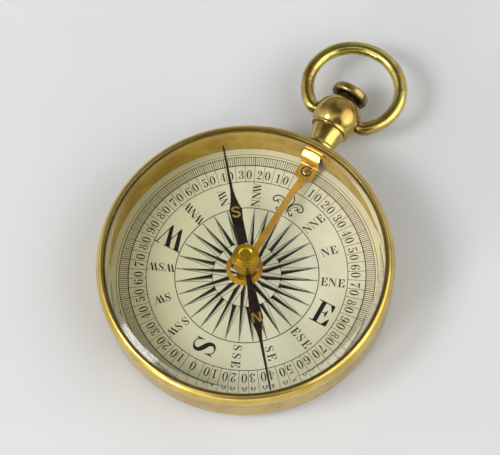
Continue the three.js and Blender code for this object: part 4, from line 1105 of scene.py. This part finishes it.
def make_lever():
    """Cut flat, then every vertex is moved to where the side line bends it."""
    line = lever_line()
    lengths = [0.0]
    for a, b in zip(line, line[1:]):
        lengths.append(lengths[-1] + (b - a).length)

    def along(y):
        """Length along the strip at a place on the level part of the side line."""
        for i in range(len(line) - 1):
            if line[i].x <= y <= line[i + 1].x:
                share = (y - line[i].x) / (line[i + 1].x - line[i].x)
                return lengths[i] + share * (lengths[i + 1] - lengths[i])
        return lengths[-1]

    def bent(x, s, off):
        """Place of a point at a length s along the strip and off its middle."""
        i = max(k for k in range(len(line) - 1) if lengths[k] <= s + TINY)
        share = (s - lengths[i]) / (lengths[i + 1] - lengths[i])
        before, here, after = line[max(i - 1, 0)], line[i], line[min(i + 1, len(line) - 1)]
        beyond = line[min(i + 2, len(line) - 1)]
        t0 = (after - before).normalized()
        t1 = (beyond - here).normalized()
        ahead = t0.lerp(t1, share)
        normal = Vector((-ahead.y, ahead.x)).normalized()
        point = here.lerp(after, share) + normal * off
        return x, point.x, point.y

    end = lengths[-1]
    ring = along(-LEVER_RING_SOUTHING)
    shoulder = along(STUD_Y - PLATE_INNER_REACH)
    stud = along(STUD_Y)
    meet = math.acos(BAR_HALF_WIDTH / LEVER_RING_RADIUS)
    ring_steps, bore_sides, hole_sides = 80, 72, 48
    around = arc((0, ring), LEVER_RING_RADIUS, math.pi - meet, 2 * math.pi + meet, ring_steps)
    soft = 0.12 * MM
    right = filleted([
        (BAR_HALF_WIDTH, ring + LEVER_RING_RADIUS), (BAR_HALF_WIDTH, shoulder, soft),
        (PLATE_HALF_WIDTH - PLATE_EAR, shoulder, soft), (PLATE_HALF_WIDTH, shoulder + PLATE_EAR, soft),
        (PLATE_HALF_WIDTH, end, TAB_CORNER_RADIUS), (0, end)])
    outline = around + right[1:] + [(-x, y) for x, y in right[-2:0:-1]]
    holes = [full_circle((0, ring), LEVER_RING_BORE, bore_sides),
             full_circle((0, stud), STUD_HOLE_RADIUS, hole_sides)]
    half = LEVER_THICKNESS / 2
    verts, faces = plate(outline, holes, -half, half)
    made = piece("needle_lifter", verts, faces, GILT, "lever", "gilt", ["lifting_lever"])
    cut_across(made.data, lengths[1:-1])
    soften(made, LEVER_EDGE_RADIUS)
    for vertex in made.data.vertices:
        vertex.co = bent(*vertex.co)


def cut_across(mesh, places):
    """Cuts a flat pattern's faces across at lengths along it, so that it can bend there."""
    cutter = bmesh.new()
    cutter.from_mesh(mesh)
    for place in places:
        geometry = cutter.verts[:] + cutter.edges[:] + cutter.faces[:]
        bmesh.ops.bisect_plane(cutter, geom=geometry, plane_co=(0, place, 0), plane_no=(0, 1, 0),
                               dist=TINY)
    cutter.to_mesh(mesh)
    cutter.free()


def make_stud():
    head_foot = PLATE_HEIGHT + LEVER_THICKNESS / 2
    foot = DIAL_HEIGHT - 0.2 * MM
    profile = [(0, foot), (STUD_RADIUS, foot),
               *quarter((STUD_RADIUS, head_foot), (0, STUD_TOP))]
    piece("stud_head", *lathe(profile, FINE_SIDES), BUTTON_BRASS, "case", "bright_brass", ["lever_stud"],
          Matrix.Translation((0, STUD_Y, 0)))


# Pendant: turned pieces whose heights run along +Y

def on_pendant(y=0.0):
    return Matrix.Translation((0, y, PENDANT_HEIGHT)) @ Matrix.Rotation(-math.pi / 2, 4, "X")


def make_neck():
    """It widens from its foot, which is hollowed to the band of the case, to the ball."""
    flange_end = CASE_RADIUS + NECK_FLANGE_LENGTH
    sharp, soft = 0.1 * MM, 0.25 * MM
    outside = filleted([
        (NECK_FLANGE_RADIUS, CASE_RADIUS), (NECK_FLANGE_RADIUS, flange_end - NECK_FLANGE_WIDTH, soft),
        (NECK_FOOT_RADIUS, flange_end, soft), (NECK_RADIUS, NECK_TOP_Y, sharp),
        (ROD_BORE, NECK_TOP_Y), (ROD_BORE, CASE_RADIUS)])
    verts, faces = lathe(outside, FINE_SIDES)
    saddle = CASE_RADIUS + SADDLE_GAP
    fitted = []
    for x, y, z in verts:
        if z < saddle:
            z = math.sqrt(max(saddle**2 - x**2, 0))
        fitted.append((x, y, z))
    piece("neck", fitted, faces, AGED_BRASS, "case", "aged_brass", ["pendant_neck"], on_pendant())


def make_ball():
    """A ball with a short skirt on the neck and the mouth of the spring's room under the button."""
    start = -math.acos(BALL_SKIRT_RADIUS / BALL_RADIUS)
    end = math.acos(SPRING_ROOM_RADIUS / BALL_RADIUS)
    outside = arc((0, 0), BALL_RADIUS, start, end, FINE_SIDES // 2)
    foot = NECK_TOP_Y - BALL_Y
    mouth = outside[-1][1]
    profile = filleted([
        (ROD_BORE, foot), (BALL_SKIRT_RADIUS, foot, 0.2 * MM), *outside[:-1],
        (SPRING_ROOM_RADIUS, mouth, 0.15 * MM), (SPRING_ROOM_RADIUS, mouth - SPRING_ROOM_DEPTH),
        (ROD_BORE, mouth - SPRING_ROOM_DEPTH)])
    piece("pendant_bulb", *lathe(profile, FINE_SIDES), AGED_BRASS, "case", "aged_brass",
          ["pendant_ball"], on_pendant(BALL_Y))


def make_button():
    shoulder = BUTTON_TOP_Y - BUTTON_CROWN
    crown_radius = BUTTON_RADIUS * 0.84
    crown = [(crown_radius * (1 - i / ARC_STEPS),
              shoulder + BUTTON_CROWN * (1 - (1 - i / ARC_STEPS) ** 2)) for i in range(ARC_STEPS + 1)]
    profile = [
        (0, BUTTON_BOSS_Y), (BUTTON_BOSS_RADIUS, BUTTON_BOSS_Y), (BUTTON_BOSS_RADIUS, BUTTON_Y),
        *quarter((BUTTON_RADIUS - BUTTON_EDGE_RADIUS, BUTTON_Y),
                 (BUTTON_RADIUS, BUTTON_Y + BUTTON_EDGE_RADIUS), False),
        *quarter((BUTTON_RADIUS, shoulder - BUTTON_EDGE_RADIUS), (crown_radius, shoulder))[:-1],
        *crown]
    profile = [(r, y - BALL_Y) for r, y in profile]
    piece("press_button", *lathe(profile, FINE_SIDES), BUTTON_BRASS, "button", "aged_brass",
          ["push_button"], on_pendant(BALL_Y))


def make_bow():
    """Round wire bent to an oval loop, whose turned-down pivots sit in the ball."""
    bend_x = BOW_SHOULDER + BOW_FOOT_LENGTH
    c, s = math.cos(BOW_END_ANGLE), math.sin(BOW_END_ANGLE)
    rise = BOW_HALF_LENGTH / s * (1 - bend_x / BOW_HALF_WIDTH * c)
    steps, foot_steps, wire_sides, pin_sides = 200, 16, 40, 32
    loop = []
    for i in range(steps + 1):
        angle = -BOW_END_ANGLE + (math.pi + 2 * BOW_END_ANGLE) * i / steps
        loop.append((BOW_HALF_WIDTH * math.cos(angle), rise + BOW_HALF_LENGTH * math.sin(angle)))
    foot = curve_between(loop[0], (bend_x, 0), (BOW_SHOULDER, 0), foot_steps)
    foot.append((BOW_SHOULDER - 0.25 * MM, 0))
    flat = foot[::-1] + loop + [(-x, y) for x, y in foot]
    points = [Vector((x, y, 0)) for x, y in flat]
    wire = tube(points, BOW_WIRE_RADIUS, wire_sides)
    pin_length = 2.0 * MM
    pin = lathe([(0, 0), (BOW_TRUNNION_RADIUS, 0), (BOW_TRUNNION_RADIUS, pin_length), (0, pin_length)],
                pin_sides)
    inner = BALL_RADIUS - BOW_TRUNNION_LENGTH
    east = [(z + inner, y, x) for x, y, z in pin[0]]
    west = [(-z - inner, y, x) for x, y, z in pin[0]]
    solid = joined(wire, (east, [f[::-1] for f in pin[1]]), (west, pin[1]))
    piece("bow_loop", *solid, AGED_BRASS, "bow", "aged_brass", ["bow"],
          Matrix.Translation((0, BALL_Y, PENDANT_HEIGHT)))


def dress_frame_nodes():
    """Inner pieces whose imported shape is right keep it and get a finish."""
    finishes = {
        "dial_plate": CASE_BRASS, "pivot_post": CAP_GILT, "pivot_pin": BRIGHT_STEEL,
        "lever_washer": CAP_GILT, "needle_collar": CAP_GILT, "cap_jewel": AGATE,
        "return_spring": BRIGHT_STEEL, "push_rod": BRIGHT_STEEL, "rod_collar": AGED_BRASS}
    for name, material in finishes.items():
        NODES[name].material_slots[0].material = material


# Stage, lamps and camera

CAMERA_TARGET = Vector((-3.73, 7.77, 2.4)) * MM
CAMERA_DISTANCE = 370.9 * MM
CAMERA_ELEVATION = math.radians(67.59)
CAMERA_AZIMUTH = math.radians(-54.3)
CAMERA_ROLL = math.radians(-7.11)
CAMERA_LENS = 158.4
SENSOR_WIDTH = 36.0
FLOOR_HALF_WIDTH = 3.0
FLOOR_HEIGHT = -0.005 * MM
WINDOW_TINT = (1.0, 0.99, 0.97)
ROOM_TINT = (1.0, 0.995, 0.985, 1.0)
ROOM_BRIGHT_AT = (-105, 18)
ROOM_LEVELS = (0.0, 0.92, 0.28, 1.4)
DARK_PARTS = (
    ((-58, 43), (0.86, 0.965, 1, 0.1)),
    ((126, 68), (0.7, 0.97, 1, 0.16)))
LIT_PARTS = (
    ((12, 32), (0.74, 0.98, 0, 2.1)),
    ((80, 36), (0.75, 0.97, 0, 0.4)))


def direction(azimuth, elevation):
    """Unit vector towards an azimuth from +X and an elevation, in radians."""
    flat = math.cos(elevation)
    return Vector((flat * math.cos(azimuth), flat * math.sin(azimuth), math.sin(elevation)))


def make_camera():
    back = direction(CAMERA_AZIMUTH, CAMERA_ELEVATION)
    right = (-back).cross(Vector((0, 0, 1))).normalized()
    up = right.cross(-back)
    c, s = math.cos(CAMERA_ROLL), math.sin(CAMERA_ROLL)
    right, up = right * c + up * s, up * c - right * s
    data = bpy.data.cameras.new("camera")
    data.lens = CAMERA_LENS
    data.sensor_width = SENSOR_WIDTH
    data.clip_start = 0.01
    data.clip_end = 20
    camera = new_object("camera", data)
    turn = Matrix((right, up, back)).transposed().to_4x4()
    camera.matrix_world = Matrix.Translation(CAMERA_TARGET + back * CAMERA_DISTANCE) @ turn
    bpy.context.scene.camera = camera


def make_floor():
    n = Nodes(bpy.data.materials.new("floor_paper"))
    place = n.place()
    grain = n.noise(place, 0.8, 5, 0.6)
    cloud = n.noise(place, 0.02, 3, 0.5)
    tone = n.mix(n.ramp(cloud, 0.3, 0.7), colour(219, 220, 221), colour(214, 216, 218))
    material = n.surface({
        "Base Color": tone, "Roughness": n.ramp(grain, 0.3, 0.7, 0.75, 0.9),
        "Specular IOR Level": 0.2, "Normal": n.bump(grain, 0.1, 0.01 * MM)})
    half, height = FLOOR_HALF_WIDTH, FLOOR_HEIGHT
    mesh = bpy.data.meshes.new("floor")
    mesh.from_pydata([(-half, -half, height), (half, -half, height), (half, half, height),
                      (-half, half, height)], [], [(0, 1, 2, 3)])
    mesh.materials.append(material)
    new_object("floor", mesh)


def add_lamp(name, azimuth, elevation, side, power):
    """A square lamp a metre away that shines on the part."""
    data = bpy.data.lights.new(name, "AREA")
    data.shape = "RECTANGLE"
    data.size = data.size_y = side
    data.energy = power
    data.color = WINDOW_TINT
    back = direction(math.radians(azimuth), math.radians(elevation))
    lamp = new_object(name, data)
    lamp.location = back
    lamp.rotation_mode = "QUATERNION"
    lamp.rotation_quaternion = back.to_track_quat("Z", "Y")


def make_light():
    """A window and a low pane on the near side, in a room that is bright behind them and dark beyond.

    The dark and lit parts are what the pendant's ball mirrors in the photo, and the ceiling over
    the glass. Each is a direction, and the cosines and levels that its light changes between.
    """
    add_lamp("window", azimuth=-136, elevation=42, side=0.3, power=3.3)
    add_lamp("low_pane", azimuth=-104, elevation=14, side=0.2, power=3.2)
    world = bpy.data.worlds.new("studio")
    bpy.context.scene.world = world
    n = Nodes(world)
    where = n.add("ShaderNodeTexCoord").outputs["Generated"]

    def by_direction(towards, levels):
        """A value that changes smoothly with the cosine of the angle from (azimuth, elevation)."""
        facing = n.vector("DOT_PRODUCT", where, direction(*map(math.radians, towards)))
        return n.ramp(facing.outputs["Value"], *levels)

    strength = by_direction(ROOM_BRIGHT_AT, ROOM_LEVELS)
    for towards, levels in DARK_PARTS:
        strength = n.math("MULTIPLY", strength, by_direction(towards, levels))
    for towards, levels in LIT_PARTS:
        strength = n.math("ADD", strength, by_direction(towards, levels))
    background = n.add("ShaderNodeBackground", {"Color": ROOM_TINT, "Strength": strength})
    n.finish(background.outputs[0], "ShaderNodeOutputWorld")
    bpy.context.scene.view_settings.view_transform = "Standard"


make_camera()
make_floor()
make_light()
make_case()
make_bezel()
make_spacer_ring()
make_crystal()
make_dial()
make_blade()
make_cap()
make_lever()
make_stud()
make_neck()
make_ball()
make_button()
make_bow()
dress_frame_nodes()
